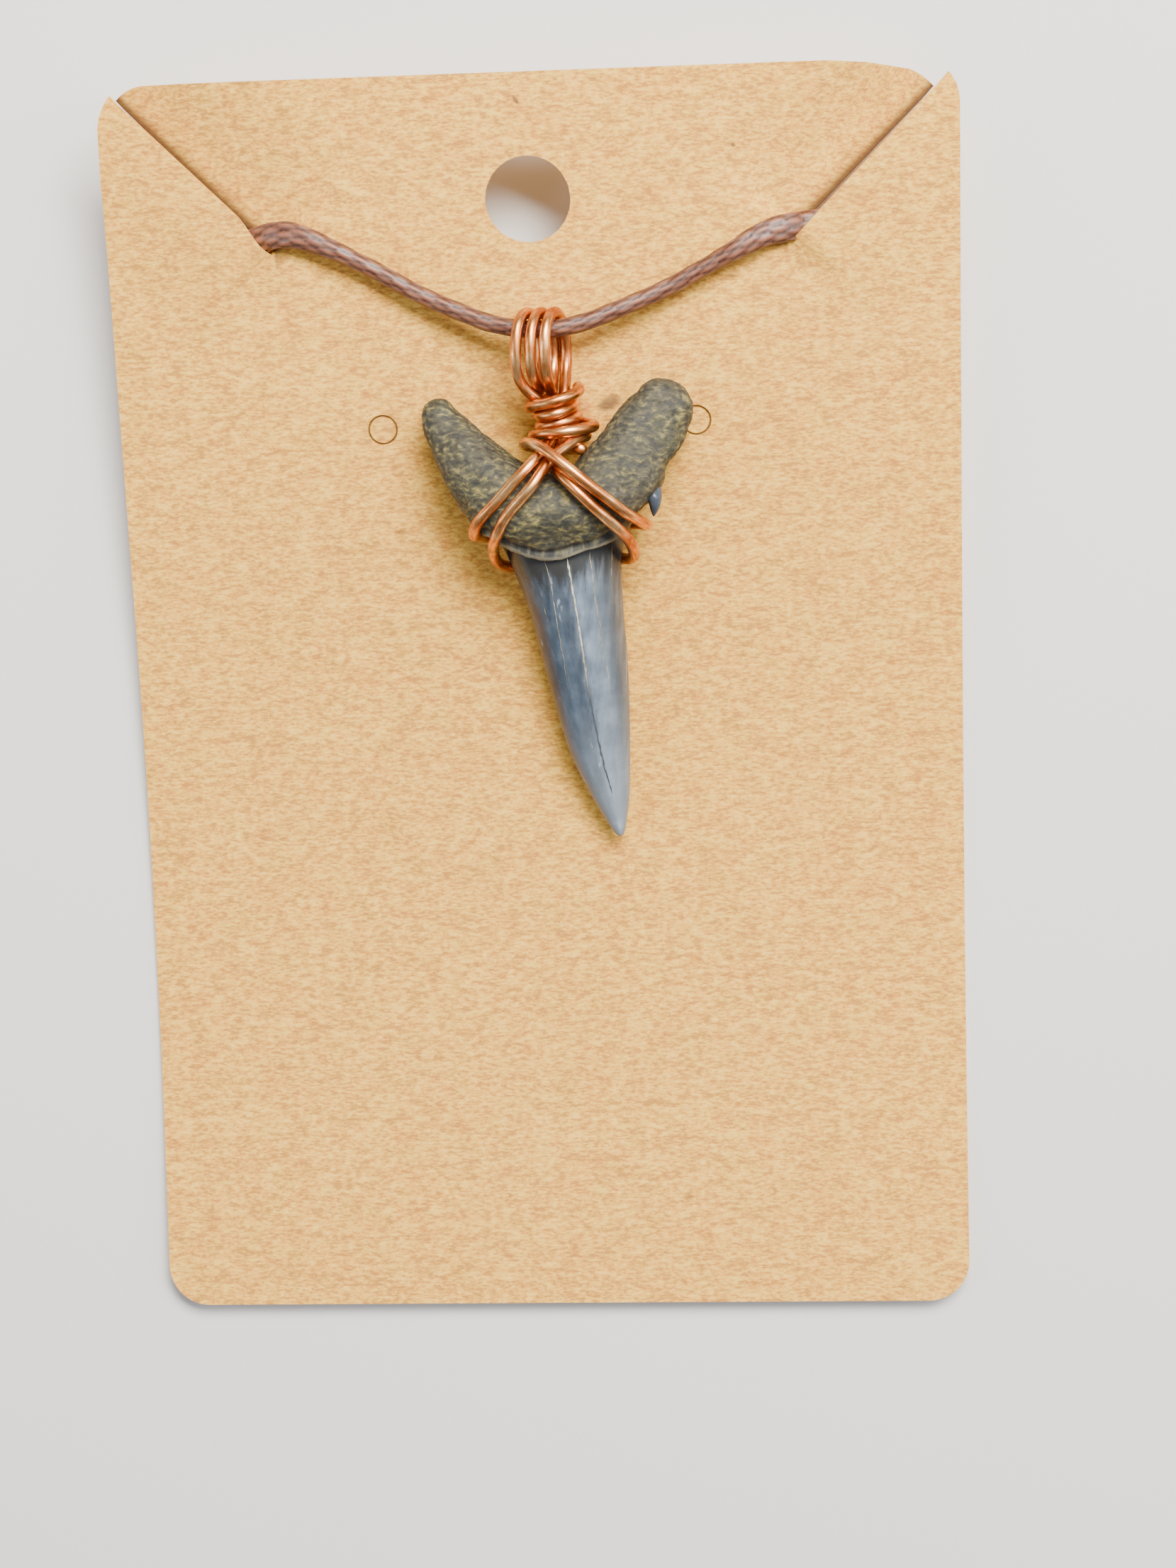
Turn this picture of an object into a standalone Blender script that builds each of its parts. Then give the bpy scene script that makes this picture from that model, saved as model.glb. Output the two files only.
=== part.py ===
"""A fossil sand tiger shark tooth pendant on its kraft card.

The tooth lies on the card, wrapped in one length of copper wire whose loops hang on a waxed cord.
The cord goes through the card's two slanted slits, and the rest of it is coiled behind the card.
The origin is under the middle of the card, on the surface that it lies on. +Y runs up the card.
Lengths are in millimetres until they become vertices, which are in metres.
"""

import math

import bmesh
import bpy
import numpy as np
from mathutils import Vector
from mathutils.bvhtree import BVHTree
from mathutils.geometry import delaunay_2d_cdt

MM = 0.001

# The card
CARD_WIDTH = 60.0
CARD_LENGTH = 90.0
CARD_THICKNESS = 0.45
CORNER_RADIUS = 3.0
HANG_HOLE_DIAMETER = 6.0
HANG_HOLE_FROM_BOTTOM = 81.3
SLIT_END = (18.2, 77.95)
SLIT_KERF = 0.16
SLIT_LENGTH = 15.6
SLIT_STATIONS = (10.6, 9.5, 8.0, 6.5, 5.0, 3.8, 2.8, 2.0, 1.4, 0.8)
SLIT_OPENS_OVER = 0.8
SLIT_SHAPES_OVER = 9.0

# The flap under each slit stands up and covers its edge. The tongue over it is pushed down, and its
# corner curls further down: by how much, and how far that draws it back along the slit and off it
FLAP_TIP = (29.27, 88.95)
FLAP_LIFT = 0.6
LEFT_FLAP_COVERS, RIGHT_FLAP_COVERS = 0.5, 0.05
FLAP_COVERS_OVER = 3.0
TONGUE_DROP = 1.0
LEFT_TONGUE_CURL = (1.0, 0.2, 0.0)
RIGHT_TONGUE_CURL = (4.0, 1.35, -0.35)
TONGUE_CURLS_OVER = 7.0
CURL_DOWN = math.radians(3.0)
CURL_UP = math.radians(7.0)
CURL_FROM, CURL_TO = 12.0, 52.0

# The tooth, in its own frame over the card
TOOTH_FROM_BOTTOM = 60.0
TOOTH_TILT = math.radians(5.5)

# The wire and the cord
WIRE_RADIUS = 0.4
WIRE_BESIDE = 0.88
WIRE_OVER_TOOTH = 0.45
WIRE_OVER_CARD = 0.62
WIRE_FINE_STEP, WIRE_STEP = 0.36, 0.95
WIRE_RETURNS, WIRE_EASES, WIRE_PUSHES = 0.03, 0.06, 0.5
WIRE_SETTLES_IN = 140
CORD_DIAMETER = 1.3
CORD_PINCHED = 0.5
COIL_CENTRE = (-15.5, 75.6)
COIL_INNER_TURN = 5.8
COIL_LOWER_TURNS, COIL_UPPER_TURNS = 4, 3
JOIN_GAP = 0.3

for old in list(bpy.data.objects):
    bpy.data.objects.remove(old, do_unlink=True)


def material(name, colour, roughness, metallic=0.0):
    made = bpy.data.materials.new(name)
    made.use_nodes = True
    shader = made.node_tree.nodes["Principled BSDF"]
    shader.inputs["Base Color"].default_value = (*colour, 1.0)
    shader.inputs["Roughness"].default_value = roughness
    shader.inputs["Metallic"].default_value = metallic
    return made


def add_object(name, mesh, finish, parent=None):
    made = bpy.data.objects.new(name, mesh)
    bpy.context.scene.collection.objects.link(made)
    made.data.materials.append(finish)
    made.parent = parent
    return made


def mesh_from(name, work, smooth=True):
    """Writes the bmesh, whose points are in millimetres, to a mesh in metres with its faces outward."""
    bmesh.ops.remove_doubles(work, verts=work.verts, dist=1e-4)
    bmesh.ops.recalc_face_normals(work, faces=work.faces)
    bmesh.ops.scale(work, vec=(MM, MM, MM), verts=work.verts)
    mesh = bpy.data.meshes.new(name)
    work.to_mesh(mesh)
    work.free()
    if smooth:
        mesh.shade_smooth()
    return mesh


def loft(name, rings):
    """One closed skin through rings of equal point counts, with a flat face on each end."""
    work = bmesh.new()
    laid = [[work.verts.new(p) for p in ring] for ring in rings]
    for low, high in zip(laid, laid[1:]):
        for k in range(len(low)):
            work.faces.new((low[k - 1], low[k], high[k], high[k - 1]))
    work.faces.new(laid[0])
    work.faces.new(laid[-1])
    return mesh_from(name, work)


def through(rows, steps):
    """Rows of numbers, with more between them on a smooth curve through them all."""
    rows = np.array(rows, float)
    padded = np.vstack([2 * rows[0] - rows[1], rows, 2 * rows[-1] - rows[-2]])
    out = []
    for k in range(1, len(padded) - 2):
        a, b, c, d = padded[k - 1 : k + 3]
        for t in np.arange(steps) / steps:
            bend = (2 * a - 5 * b + 4 * c - d) * t**2 + (3 * b - a - 3 * c + d) * t**3
            out.append(b + 0.5 * ((c - a) * t + bend))
    out.append(rows[-1])
    return np.array(out)


def evenly(points, spacing):
    """The same line with points at an even spacing along it."""
    points = np.array(points, float)
    along = np.concatenate([[0.0], np.cumsum(np.linalg.norm(np.diff(points[:, :3], axis=0), axis=1))])
    wanted = np.linspace(0.0, along[-1], max(2, round(along[-1] / spacing) + 1))
    return np.stack([np.interp(wanted, along, column) for column in points.T], axis=1)


def smoothstep(t):
    t = min(max(t, 0.0), 1.0)
    return t * t * (3.0 - 2.0 * t)


def squared(value, power):
    """A sine or cosine with its sign kept and its size raised to the power, for squarer rounds."""
    return math.copysign(abs(value) ** power, value)


def tube(name, points, radius, finish, parent=None, radii=None):
    """A round bar or cord along the points, with closed ends."""
    curve = bpy.data.curves.new(name, "CURVE")
    curve.dimensions = "3D"
    curve.bevel_depth = radius * MM
    curve.bevel_resolution = 2
    curve.use_fill_caps = True
    line = curve.splines.new("POLY")
    line.points.add(len(points) - 1)
    for k, p in enumerate(points):
        line.points[k].co = (p[0] * MM, p[1] * MM, p[2] * MM, 1.0)
        line.points[k].radius = 1.0 if radii is None else radii[k] / radius
    made = bpy.data.objects.new(name, curve)
    bpy.context.scene.collection.objects.link(made)
    curve.materials.append(finish)
    made.parent = parent
    return made


# The card's curl: its slope goes from a little down at the bottom edge to a little up at the top
CURL_STATIONS = np.linspace(0.0, CARD_LENGTH, 1801)
CURL_SLOPES = np.interp(CURL_STATIONS, [CURL_FROM, CURL_TO], [-CURL_DOWN, CURL_UP])
STEP_SLOPES = (CURL_SLOPES[1:] + CURL_SLOPES[:-1]) / 2
CURL_Y = np.concatenate([[0.0], np.cumsum(np.cos(STEP_SLOPES) * np.diff(CURL_STATIONS))])
CURL_Z = np.concatenate([[0.0], np.cumsum(np.sin(STEP_SLOPES) * np.diff(CURL_STATIONS))])
CURL_Y = CURL_Y - CURL_Y[-1] / 2
CURL_Z = CURL_Z - CURL_Z.min() + CARD_THICKNESS


def on_card(x, s, height=0.0):
    """The point over the card's front face, s along the card from its bottom edge."""
    slope = np.interp(s, CURL_STATIONS, CURL_SLOPES)
    y = np.interp(s, CURL_STATIONS, CURL_Y) - height * math.sin(slope)
    z = np.interp(s, CURL_STATIONS, CURL_Z) + height * math.cos(slope)
    return (x, y, z)


def on_table(x, s, z):
    """The point under the card at s along it, z over the surface that everything lies on."""
    return (x, np.interp(s, CURL_STATIONS, CURL_Y), z)


def pushed_open(x, s):
    """Where the cord in the slits moves a point of the flat card to, and how far out of its face."""
    root_half = math.sqrt(0.5)
    across = abs(x) - SLIT_END[0]
    up = s - SLIT_END[1]
    along = (across + up) * root_half
    beside = (up - across) * root_half
    if along <= 0.0:
        return x, s, 0.0
    opened = smoothstep(along / SLIT_OPENS_OVER) * (1.0 - smoothstep(abs(beside) / SLIT_SHAPES_OVER))
    if beside <= 0.0:
        covers = smoothstep((along - SLIT_OPENS_OVER) / FLAP_COVERS_OVER)
        covers *= 1.0 - smoothstep(-beside / FLAP_COVERS_OVER)
        covers *= RIGHT_FLAP_COVERS if x > 0.0 else LEFT_FLAP_COVERS
        back, aside, out = 0.0, covers, FLAP_LIFT * opened
    else:
        curled = (along / SLIT_LENGTH) ** 1.5 * (1.0 - smoothstep(beside / TONGUE_CURLS_OVER))
        drop, drawn_back, drawn_off = RIGHT_TONGUE_CURL if x > 0.0 else LEFT_TONGUE_CURL
        back, aside, out = drawn_back * curled, drawn_off * curled, -TONGUE_DROP * opened - drop * curled
    x -= math.copysign((back + aside) * root_half, x)
    return x, s + (aside - back) * root_half, out


def arc(centre, radius, start, end, steps):
    angles = np.radians(np.linspace(start, end, steps))
    return [(centre[0] + radius * math.cos(a), centre[1] + radius * math.sin(a)) for a in angles]


def right_half_outline():
    """From the bottom edge's middle round to the top edge's middle, with the slit's two edges."""
    half, top, r = CARD_WIDTH / 2, CARD_LENGTH, CORNER_RADIUS
    end_x, end_s = SLIT_END
    kerf = SLIT_KERF / 2 * math.sqrt(0.5)
    points = arc((half - r, r), r, -90, 0, 6)
    points += [(half, s) for s in (16.0, 28.0, 40.0, 52.0, 66.0, 78.0)]
    points += arc((half - r, top - r), r, 0, 36, 4)
    points.append(FLAP_TIP)
    for along in SLIT_STATIONS:
        points.append((end_x + along + kerf, end_s + along - kerf))
    points.append((end_x, end_s))
    for along in reversed(SLIT_STATIONS):
        points.append((end_x + along - kerf, end_s + along + kerf))
    return points + arc((half - r, top - r), r, 44, 90, 4)


def card_mesh():
    """Front and back faces laid out flat, then bent to the curl and pushed open at the slits."""
    right = right_half_outline()
    outline = [(0.0, 0.0)] + right + [(0.0, CARD_LENGTH)] + [(-x, s) for x, s in reversed(right)]
    hole_middle = (0.0, HANG_HOLE_FROM_BOTTOM)
    hole = arc(hole_middle, HANG_HOLE_DIAMETER / 2, 0, 360, 25)[:-1]
    inside = []
    for s in (12.0, 16.0, 20.0, 24.0, 28.0, 32.0, 36.0, 40.0, 44.0, 48.0, 52.0, 66.0, 74.0):
        inside += [(x, s) for x in (-20.0, 0.0, 20.0)]
    for side in (-1, 1):
        for beside in (-4.0, -1.8, 1.8, 4.2, 7.0):
            for along in (0.4, 1.6, 3.6, 6.0, 9.0):
                x = SLIT_END[0] + (along - beside) * math.sqrt(0.5)
                s = SLIT_END[1] + (along + beside) * math.sqrt(0.5)
                if x < 29.0 and s < 89.0:
                    inside.append((side * x, s))
    flat = [Vector(p) for p in outline + hole + inside]
    rims = [[k, (k + 1) % len(outline)] for k in range(len(outline))]
    first = len(outline)
    rims += [[first + k, first + (k + 1) % len(hole)] for k in range(len(hole))]
    points, _, faces, _, _, _ = delaunay_2d_cdt(flat, rims, [list(range(len(outline)))], 1, 1e-5)

    work = bmesh.new()
    front, back = [], []
    for p in points:
        x, s, out = pushed_open(p.x, p.y)
        front.append(work.verts.new(on_card(x, s, out)))
        back.append(work.verts.new(on_card(x, s, out - CARD_THICKNESS)))
    for face in faces:
        middle = sum((points[k] for k in face), Vector((0.0, 0.0))) / len(face)
        if (middle - Vector(hole_middle)).length < HANG_HOLE_DIAMETER / 2 - 0.02:
            continue
        work.faces.new([front[k] for k in face])
        work.faces.new([back[k] for k in reversed(face)])
    for edge in [e for e in work.edges if e.is_boundary and e.verts[0] in set(front)]:
        a, b = (front.index(v) for v in edge.verts)
        work.faces.new((front[a], front[b], back[b], back[a]))
    loose = [v for v in work.verts if not v.link_faces]
    bmesh.ops.delete(work, geom=loose, context="VERTS")
    return mesh_from("card", work, smooth=False)


kraft = material("kraft board", (0.53, 0.36, 0.2), 0.85)
card = add_object("card", card_mesh(), kraft)

# The tooth
pendant = bpy.data.objects.new("pendant", None)
bpy.context.scene.collection.objects.link(pendant)
pendant.location = Vector(on_card(0.0, TOOTH_FROM_BOTTOM)) * MM
pendant.rotation_euler = (TOOTH_TILT, 0.0, 0.0)

# Each lobe of the root: x, y, z of its middle, half its width, its height to the front and to the back
LEFT_LOBE = [
    (-6.75, 6.75, 2.7, 1.15, 1.2, 1.2),
    (-6.38, 5.93, 2.85, 1.45, 1.6, 1.45),
    (-5.39, 4.56, 3.1, 1.93, 2.3, 1.7),
    (-4.52, 3.4, 3.3, 2.18, 2.8, 1.9),
    (-3.6, 2.3, 3.5, 2.45, 3.2, 2.1),
    (-2.08, 0.75, 3.7, 2.75, 3.5, 2.3),
    (-0.9, -0.1, 3.9, 2.5, 3.4, 2.4),
]
RIGHT_LOBE = [
    (9.15, 6.75, 3.0, 2.12, 1.8, 1.5),
    (8.3, 5.55, 3.1, 2.55, 2.3, 1.7),
    (7.32, 4.3, 3.3, 2.55, 2.8, 1.9),
    (6.4, 2.8, 3.5, 2.9, 3.2, 2.1),
    (5.35, 1.68, 3.7, 2.8, 3.5, 2.3),
    (4.2, 0.45, 3.9, 2.75, 3.5, 2.5),
]
LOBE_TIP_ROUNDING = (0.97, 0.82, 0.55, 0.22)

# The root's middle, as slices across the tooth: y, left x, right x, back z, front z
ROOT_MIDDLE = [
    (2.55, 0.0, 2.6, 3.2, 5.4),
    (2.2, -1.0, 3.8, 2.6, 6.3),
    (1.4, -2.9, 6.0, 1.9, 7.1),
    (0.4, -4.2, 7.4, 1.5, 7.55),
    (-0.5, -4.6, 7.05, 1.5, 7.5),
    (-1.3, -4.05, 6.45, 1.5, 7.1),
    (-1.9, -3.05, 5.85, 1.8, 6.75),
    (-2.4, -2.15, 5.1, 2.2, 6.45),
    (-2.9, -1.1, 3.55, 2.8, 6.2),
    (-3.2, 0.0, 2.2, 3.6, 5.9),
]

# The crown, as slices down its length: y, left x, right x, z of the cutting edges, front z, back z
CROWN = [
    (0.9, -3.4, 7.3, 3.0, 4.6, 1.45),
    (-0.6, -3.4, 7.1, 2.95, 5.2, 1.3),
    (-2.0, -2.9, 6.35, 2.9, 5.6, 1.2),
    (-4.0, -1.98, 5.9, 2.8, 5.65, 1.15),
    (-7.6, -0.78, 5.9, 2.6, 5.2, 1.1),
    (-10.7, -0.12, 6.05, 2.4, 4.7, 1.05),
    (-14.1, 0.65, 6.08, 2.2, 4.15, 1.0),
    (-18.0, 1.67, 6.0, 2.0, 3.4, 0.95),
    (-21.1, 3.0, 5.85, 1.8, 2.75, 0.95),
    (-23.4, 4.2, 5.53, 1.6, 2.1, 1.05),
    (-24.4, 4.85, 5.25, 1.45, 1.6, 1.3),
]
CROWN_FRONT_ROUNDING = 0.72
CROWN_BACK_ROUNDING = 0.85

# The cusplets beside the crown: x, y, z and radius down to the point
RIGHT_CUSPLET = [
    (8.25, 1.7, 4.1, 0.65), (8.42, 0.95, 4.7, 0.55), (8.46, 0.3, 4.85, 0.42), (8.38, -0.5, 4.8, 0.12),
]
LEFT_CUSPLET = [
    (-5.2, 1.9, 2.7, 0.7), (-5.25, 0.9, 2.55, 0.62), (-4.95, -0.1, 2.4, 0.5), (-4.55, -0.95, 2.3, 0.1),
]


def oval(half_width, front, back, sides, squareness=2.5):
    """Points round an oval, as width and height, whose front and back have their own heights."""
    out = []
    for angle in np.linspace(0.0, 2 * math.pi, sides, endpoint=False):
        c, s = math.cos(angle), math.sin(angle)
        height = squared(s, 2 / squareness) * (front if s > 0 else back)
        out.append((half_width * squared(c, 2 / squareness), height))
    return out


def lobe_rings(stations, steps, sides):
    """Ovals across the lobe's line, shrinking to a rounded tip before the first station."""
    rows = through(stations, steps)
    towards_tip = (rows[0] - rows[1])[:3]
    towards_tip /= np.linalg.norm(towards_tip)
    tip = []
    for scale in reversed(LOBE_TIP_ROUNDING):
        row = rows[0].copy()
        row[:3] += towards_tip * rows[0][3] * math.sqrt(1 - scale**2)
        row[3:] *= scale
        tip.append(row)
    rows = np.vstack([tip, rows])
    lines = np.gradient(rows[:, :2], axis=0)
    rings = []
    for row, line in zip(rows, lines):
        side = Vector((-line[1], line[0], 0.0)).normalized()
        middle = Vector(row[:3])
        rings.append([middle + side * w + Vector((0, 0, h)) for w, h in oval(*row[3:], sides)])
    return rings


def root_middle_rings(steps, sides):
    rings = []
    for y, left, right, back, front in through(ROOT_MIDDLE, steps):
        x, z = (left + right) / 2, (back + front) / 2
        shape = oval((right - left) / 2, (front - back) / 2, (front - back) / 2, sides, 2.7)
        rings.append([Vector((x + w, y, z + h)) for w, h in shape])
    return rings


def crown_rings(steps, sides):
    """Lens shapes with a sharp edge at each side, fuller to the front than to the back."""
    rings = []
    spread = -np.cos(np.linspace(0.0, math.pi, sides // 2 + 1))
    for y, left, right, edge, front, back in through(CROWN, steps):
        x, half = (left + right) / 2, (right - left) / 2
        ring = []
        for u in spread[:-1]:
            rise = max(0.0, 1 - abs(u) ** 2.1) ** CROWN_FRONT_ROUNDING
            ring.append(Vector((x + half * u, y, edge + (front - edge) * rise)))
        for u in spread[:0:-1]:
            rise = max(0.0, 1 - abs(u) ** 2.8) ** CROWN_BACK_ROUNDING
            ring.append(Vector((x + half * u, y, edge - (edge - back) * rise)))
        rings.append(ring)
    return rings


def cusplet_rings(stations, steps, sides):
    rings = []
    for x, y, z, radius in through(stations, steps):
        shape = oval(radius, radius * 1.2, radius, sides, 2.0)
        rings.append([Vector((x + w, y, z + h)) for w, h in shape])
    return rings


dentine = material("fossil dentine", (0.16, 0.14, 0.09), 0.8)
tooth = add_object("tooth", loft("tooth", root_middle_rings(2, 26)), dentine, pendant)
joined = {
    "left_lobe": lobe_rings(LEFT_LOBE, 2, 18),
    "right_lobe": lobe_rings(RIGHT_LOBE, 2, 18),
    "crown": crown_rings(2, 26),
    "right_cusplet": cusplet_rings(RIGHT_CUSPLET, 2, 10),
    "left_cusplet": cusplet_rings(LEFT_CUSPLET, 2, 10),
}
for name, rings in joined.items():
    piece = add_object(name, loft(name, rings), dentine, pendant)
    piece.hide_render = True
    piece.display_type = "WIRE"
    join = tooth.modifiers.new(name, "BOOLEAN")
    join.operation = "UNION"
    join.object = piece

# The copper wire, one length from its cut end beside the neck to its tucked end behind it.
# Every point is in the tooth's frame.
TAIL_TO_LEFT_SIDE = [
    (3.45, 4.4, 4.9), (3.35, 4.15, 3.8), (2.8, 4.0, 2.4), (1.9, 4.0, 1.5), (0.8, 4.1, 1.4), (-0.1, 4.3, 2.2),
    (-0.55, 4.6, 3.4), (-0.45, 4.85, 4.9), (0.0, 4.95, 6.1), (0.75, 4.75, 7.0),
]
RIGHT_UPPER_STRAP = [
    (1.7, 4.2, 7.75), (3.17, 3.05, 8.2), (4.4, 2.0, 8.2), (5.6, 0.95, 7.75), (6.7, -0.1, 6.9),
    (7.5, -0.8, 5.5), (7.8, -1.25, 4.1), (7.75, -1.5, 2.6), (7.2, -1.6, 1.1), (5.9, -1.6, 0.5),
]
BEHIND_UPPER = [
    (3.5, -1.6, 0.42), (0.8, -1.75, 0.42), (-1.8, -2.0, 0.5), (-3.3, -2.2, 1.1), (-4.0, -2.15, 2.3),
    (-4.05, -1.8, 3.6),
]
LEFT_OUTER_STRAP = [
    (-3.85, -1.15, 5.0), (-3.3, -0.2, 6.1), (-2.4, 0.93, 7.1), (-1.3, 2.24, 7.6), (-0.13, 3.37, 7.4),
    (0.65, 4.1, 6.6), (1.2, 4.7, 5.4), (1.3, 5.15, 4.0), (1.2, 5.9, 2.8), (0.95, 6.6, 2.6),
    (0.75, 7.25, 3.0), (0.3, 7.95, 3.7),
]
RIGHT_LOWER_STRAP = [
    (2.35, 7.5, 2.5), (2.35, 6.6, 2.7), (2.3, 5.5, 2.9), (2.0, 4.6, 3.8), (1.6, 3.85, 5.0), (1.5, 3.25, 6.2),
    (2.1, 2.85, 7.2), (3.2, 1.85, 7.95), (4.6, 0.45, 8.0), (5.75, -0.75, 7.4), (6.5, -1.75, 6.3),
    (6.85, -2.65, 5.1), (6.85, -3.45, 3.8), (6.5, -3.95, 2.3), (5.6, -4.05, 0.9),
]
BEHIND_LOWER = [
    (4.0, -4.15, 0.4), (1.5, -4.3, 0.4), (-0.8, -4.5, 0.5), (-2.2, -4.5, 1.2), (-2.9, -4.0, 2.5),
    (-3.1, -3.2, 3.8),
]
LEFT_INNER_STRAP = [
    (-2.85, -2.2, 5.2), (-2.35, -1.05, 6.4), (-1.7, 0.05, 7.3), (-0.76, 1.2, 7.9), (0.3, 2.3, 7.85),
    (1.0, 3.4, 7.0), (1.75, 4.15, 6.2), (2.6, 4.65, 5.5), (3.5, 5.0, 4.5), (3.9, 5.1, 3.3), (3.3, 5.05, 2.0),
]
# Each turn of the neck: x of its middle, half its width, front z, and y at back, left, front and right
NECK_TURNS = [
    (2.15, 2.15, 5.6, 4.95, 5.25, 5.5, 5.6),
    (1.75, 1.45, 4.6, 5.8, 5.85, 6.05, 6.35),
    (1.65, 1.3, 5.1, 6.6, 6.35, 6.75, 7.15),
    (1.65, 1.75, 5.2, 7.45, 7.05, 7.6, 8.2),
]
NECK_BACK_Z = 1.1

# The bail's loops: front x and back x of each, and its reach in y and z
BAIL_LOOPS = [(-0.9, 0.55), (0.1, 1.45), (1.1, 2.35)]
BAIL_TOP, BAIL_BOTTOM = 13.7, 7.95
BAIL_FRONT, BAIL_BACK = 4.7, 0.9
BAIL_SQUARENESS = 0.8
BAIL_GATHERS_BELOW = 9.8
BAIL_GATHERED_X, BAIL_GATHERED_Z = 1.35, 2.9
BAIL_GATHERS_X_BY, BAIL_GATHERS_Z_BY = 0.22, 0.45
BAIL_STEPS = 16


def neck_points():
    """Four turns upward: in front from left to right, then back behind to the left."""
    out = []
    for x, half, front, y_back, y_left, y_front, y_right in NECK_TURNS:
        deep = (front + NECK_BACK_Z) / 2
        reach = (front - NECK_BACK_Z) / 2
        out.append((x, y_back, NECK_BACK_Z))
        out.append((x - half * 0.75, (y_back + y_left) / 2, deep - reach * 0.7))
        out.append((x - half, y_left, deep))
        out.append((x - half * 0.7, y_left * 0.65 + y_front * 0.35, deep + reach * 0.72))
        out.append((x, y_front, front))
        out.append((x + half * 0.7, y_front * 0.35 + y_right * 0.65, deep + reach * 0.72))
        out.append((x + half, y_right, deep))
        out.append((x + half * 0.85, y_right + 0.12, deep - reach * 0.6))
    return out


def bail_points():
    """Three tall loops over the cord, gathered where they go into the neck."""
    out = []
    middle_y, half_y = (BAIL_TOP + BAIL_BOTTOM) / 2, (BAIL_TOP - BAIL_BOTTOM) / 2
    middle_z, half_z = (BAIL_FRONT + BAIL_BACK) / 2, (BAIL_FRONT - BAIL_BACK) / 2
    for loop, (front_x, back_x) in enumerate(BAIL_LOOPS):
        next_x = BAIL_LOOPS[min(loop + 1, 2)][0]
        for k in range(BAIL_STEPS):
            turn = k / BAIL_STEPS
            if (loop == 0 and turn < 0.1) or (loop == 2 and turn > 0.9):
                continue
            angle = 2 * math.pi * turn
            y = middle_y - half_y * squared(math.cos(angle), BAIL_SQUARENESS)
            z = middle_z + half_z * squared(math.sin(angle), BAIL_SQUARENESS)
            if turn < 0.25:
                last_x = BAIL_LOOPS[loop - 1][1] if loop else front_x
                x = front_x + (last_x - front_x) * (0.25 - turn) * 2
            elif turn < 0.75:
                x = front_x + (back_x - front_x) * smoothstep((turn - 0.25) * 2)
            else:
                x = back_x + (next_x - back_x) * (turn - 0.75) * 2 * (loop < 2)
            gather = smoothstep((BAIL_GATHERS_BELOW - y) / (BAIL_GATHERS_BELOW - BAIL_BOTTOM))
            x += (BAIL_GATHERED_X - x) * BAIL_GATHERS_X_BY * gather
            z += (BAIL_GATHERED_Z - z) * BAIL_GATHERS_Z_BY * gather
            out.append((x, y, z))
    return out


wire_route = (
    TAIL_TO_LEFT_SIDE + RIGHT_UPPER_STRAP + BEHIND_UPPER + LEFT_OUTER_STRAP + bail_points()
    + RIGHT_LOWER_STRAP + BEHIND_LOWER + LEFT_INNER_STRAP + neck_points()
)


def settled(line, clear_of):
    """The wire's line, eased until its turns lie beside each other and on the tooth, not in them."""
    start, line = line.copy(), line.copy()
    count = len(line)
    apart = np.abs(np.subtract.outer(np.arange(count), np.arange(count))) > 1.6 * WIRE_BESIDE / WIRE_FINE_STEP
    for _ in range(WIRE_SETTLES_IN):
        moved = WIRE_RETURNS * (start - line)
        moved[1:-1] += WIRE_EASES * ((line[2:] + line[:-2]) / 2 - line[1:-1])
        between = line[:, None] - line[None]
        away = np.linalg.norm(between, axis=2)
        near = apart & (away < WIRE_BESIDE)
        push = np.where(near, (WIRE_BESIDE - away) / np.maximum(away, 1e-6), 0.0)
        pushed = (between * push[..., None]).sum(axis=1)
        moved += WIRE_PUSHES * pushed / np.maximum(near.sum(axis=1), 1)[:, None]
        line += moved
        for k, p in enumerate(line):
            nearest, normal, _, _ = clear_of.find_nearest(Vector(p))
            height = (Vector(p) - nearest).dot(normal)
            reach = (Vector(p) - nearest).length
            if height < 0.0 or reach < WIRE_OVER_TOOTH:
                line[k] = nearest + normal * WIRE_OVER_TOOTH
            line[k, 2] = max(line[k, 2], WIRE_OVER_CARD)
    return line


def tree_of(thing):
    """The solid's faces in its own frame, in millimetres, for finding what is nearest."""
    bpy.context.view_layer.update()
    solid = thing.evaluated_get(bpy.context.evaluated_depsgraph_get())
    mesh = solid.to_mesh()
    points = [v.co / MM for v in mesh.vertices]
    return BVHTree.FromPolygons(points, [tuple(p.vertices) for p in mesh.polygons])


fine_line = settled(evenly(through(wire_route, 8), WIRE_FINE_STEP), tree_of(tooth))
wire_line = evenly(fine_line, WIRE_STEP)
copper = material("bare copper wire", (0.72, 0.29, 0.15), 0.3, 1.0)
tube("copper_wire", wire_line, WIRE_RADIUS, copper, pendant)

# The cord: from its right cap, up through the right slit, through the bail, and down the left slit
CORD_HIDDEN_RIGHT = [
    on_table(21.3, 73.45, 1.15), on_table(22.9, 73.7, 1.3), on_table(24.7, 74.6, 1.9),
    on_table(25.7, 76.5, 2.9), on_table(24.9, 78.4, 3.8), on_table(23.1, 79.15, 4.35),
    on_card(21.0, 79.1, -0.62),
]
CORD_SHOWN = [
    on_card(19.35, 78.9, -0.42), on_card(17.9, 78.8, 0.3), on_card(16.3, 78.4, 0.75),
    on_card(14.6, 77.55, 1.0), on_card(12.4, 76.4, 1.0), on_card(9.5, 74.95, 1.2), on_card(6.5, 73.8, 1.7),
    on_card(3.6, 72.85, 2.2), on_card(0.9, 72.5, 2.4), on_card(-2.2, 72.85, 2.1), on_card(-4.9, 73.8, 1.65),
    on_card(-7.9, 75.15, 1.2), on_card(-10.9, 76.85, 1.0), on_card(-13.8, 78.35, 1.0),
    on_card(-16.2, 79.3, 0.75), on_card(-17.8, 79.4, 0.15), on_card(-19.1, 79.05, -0.42),
]
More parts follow.
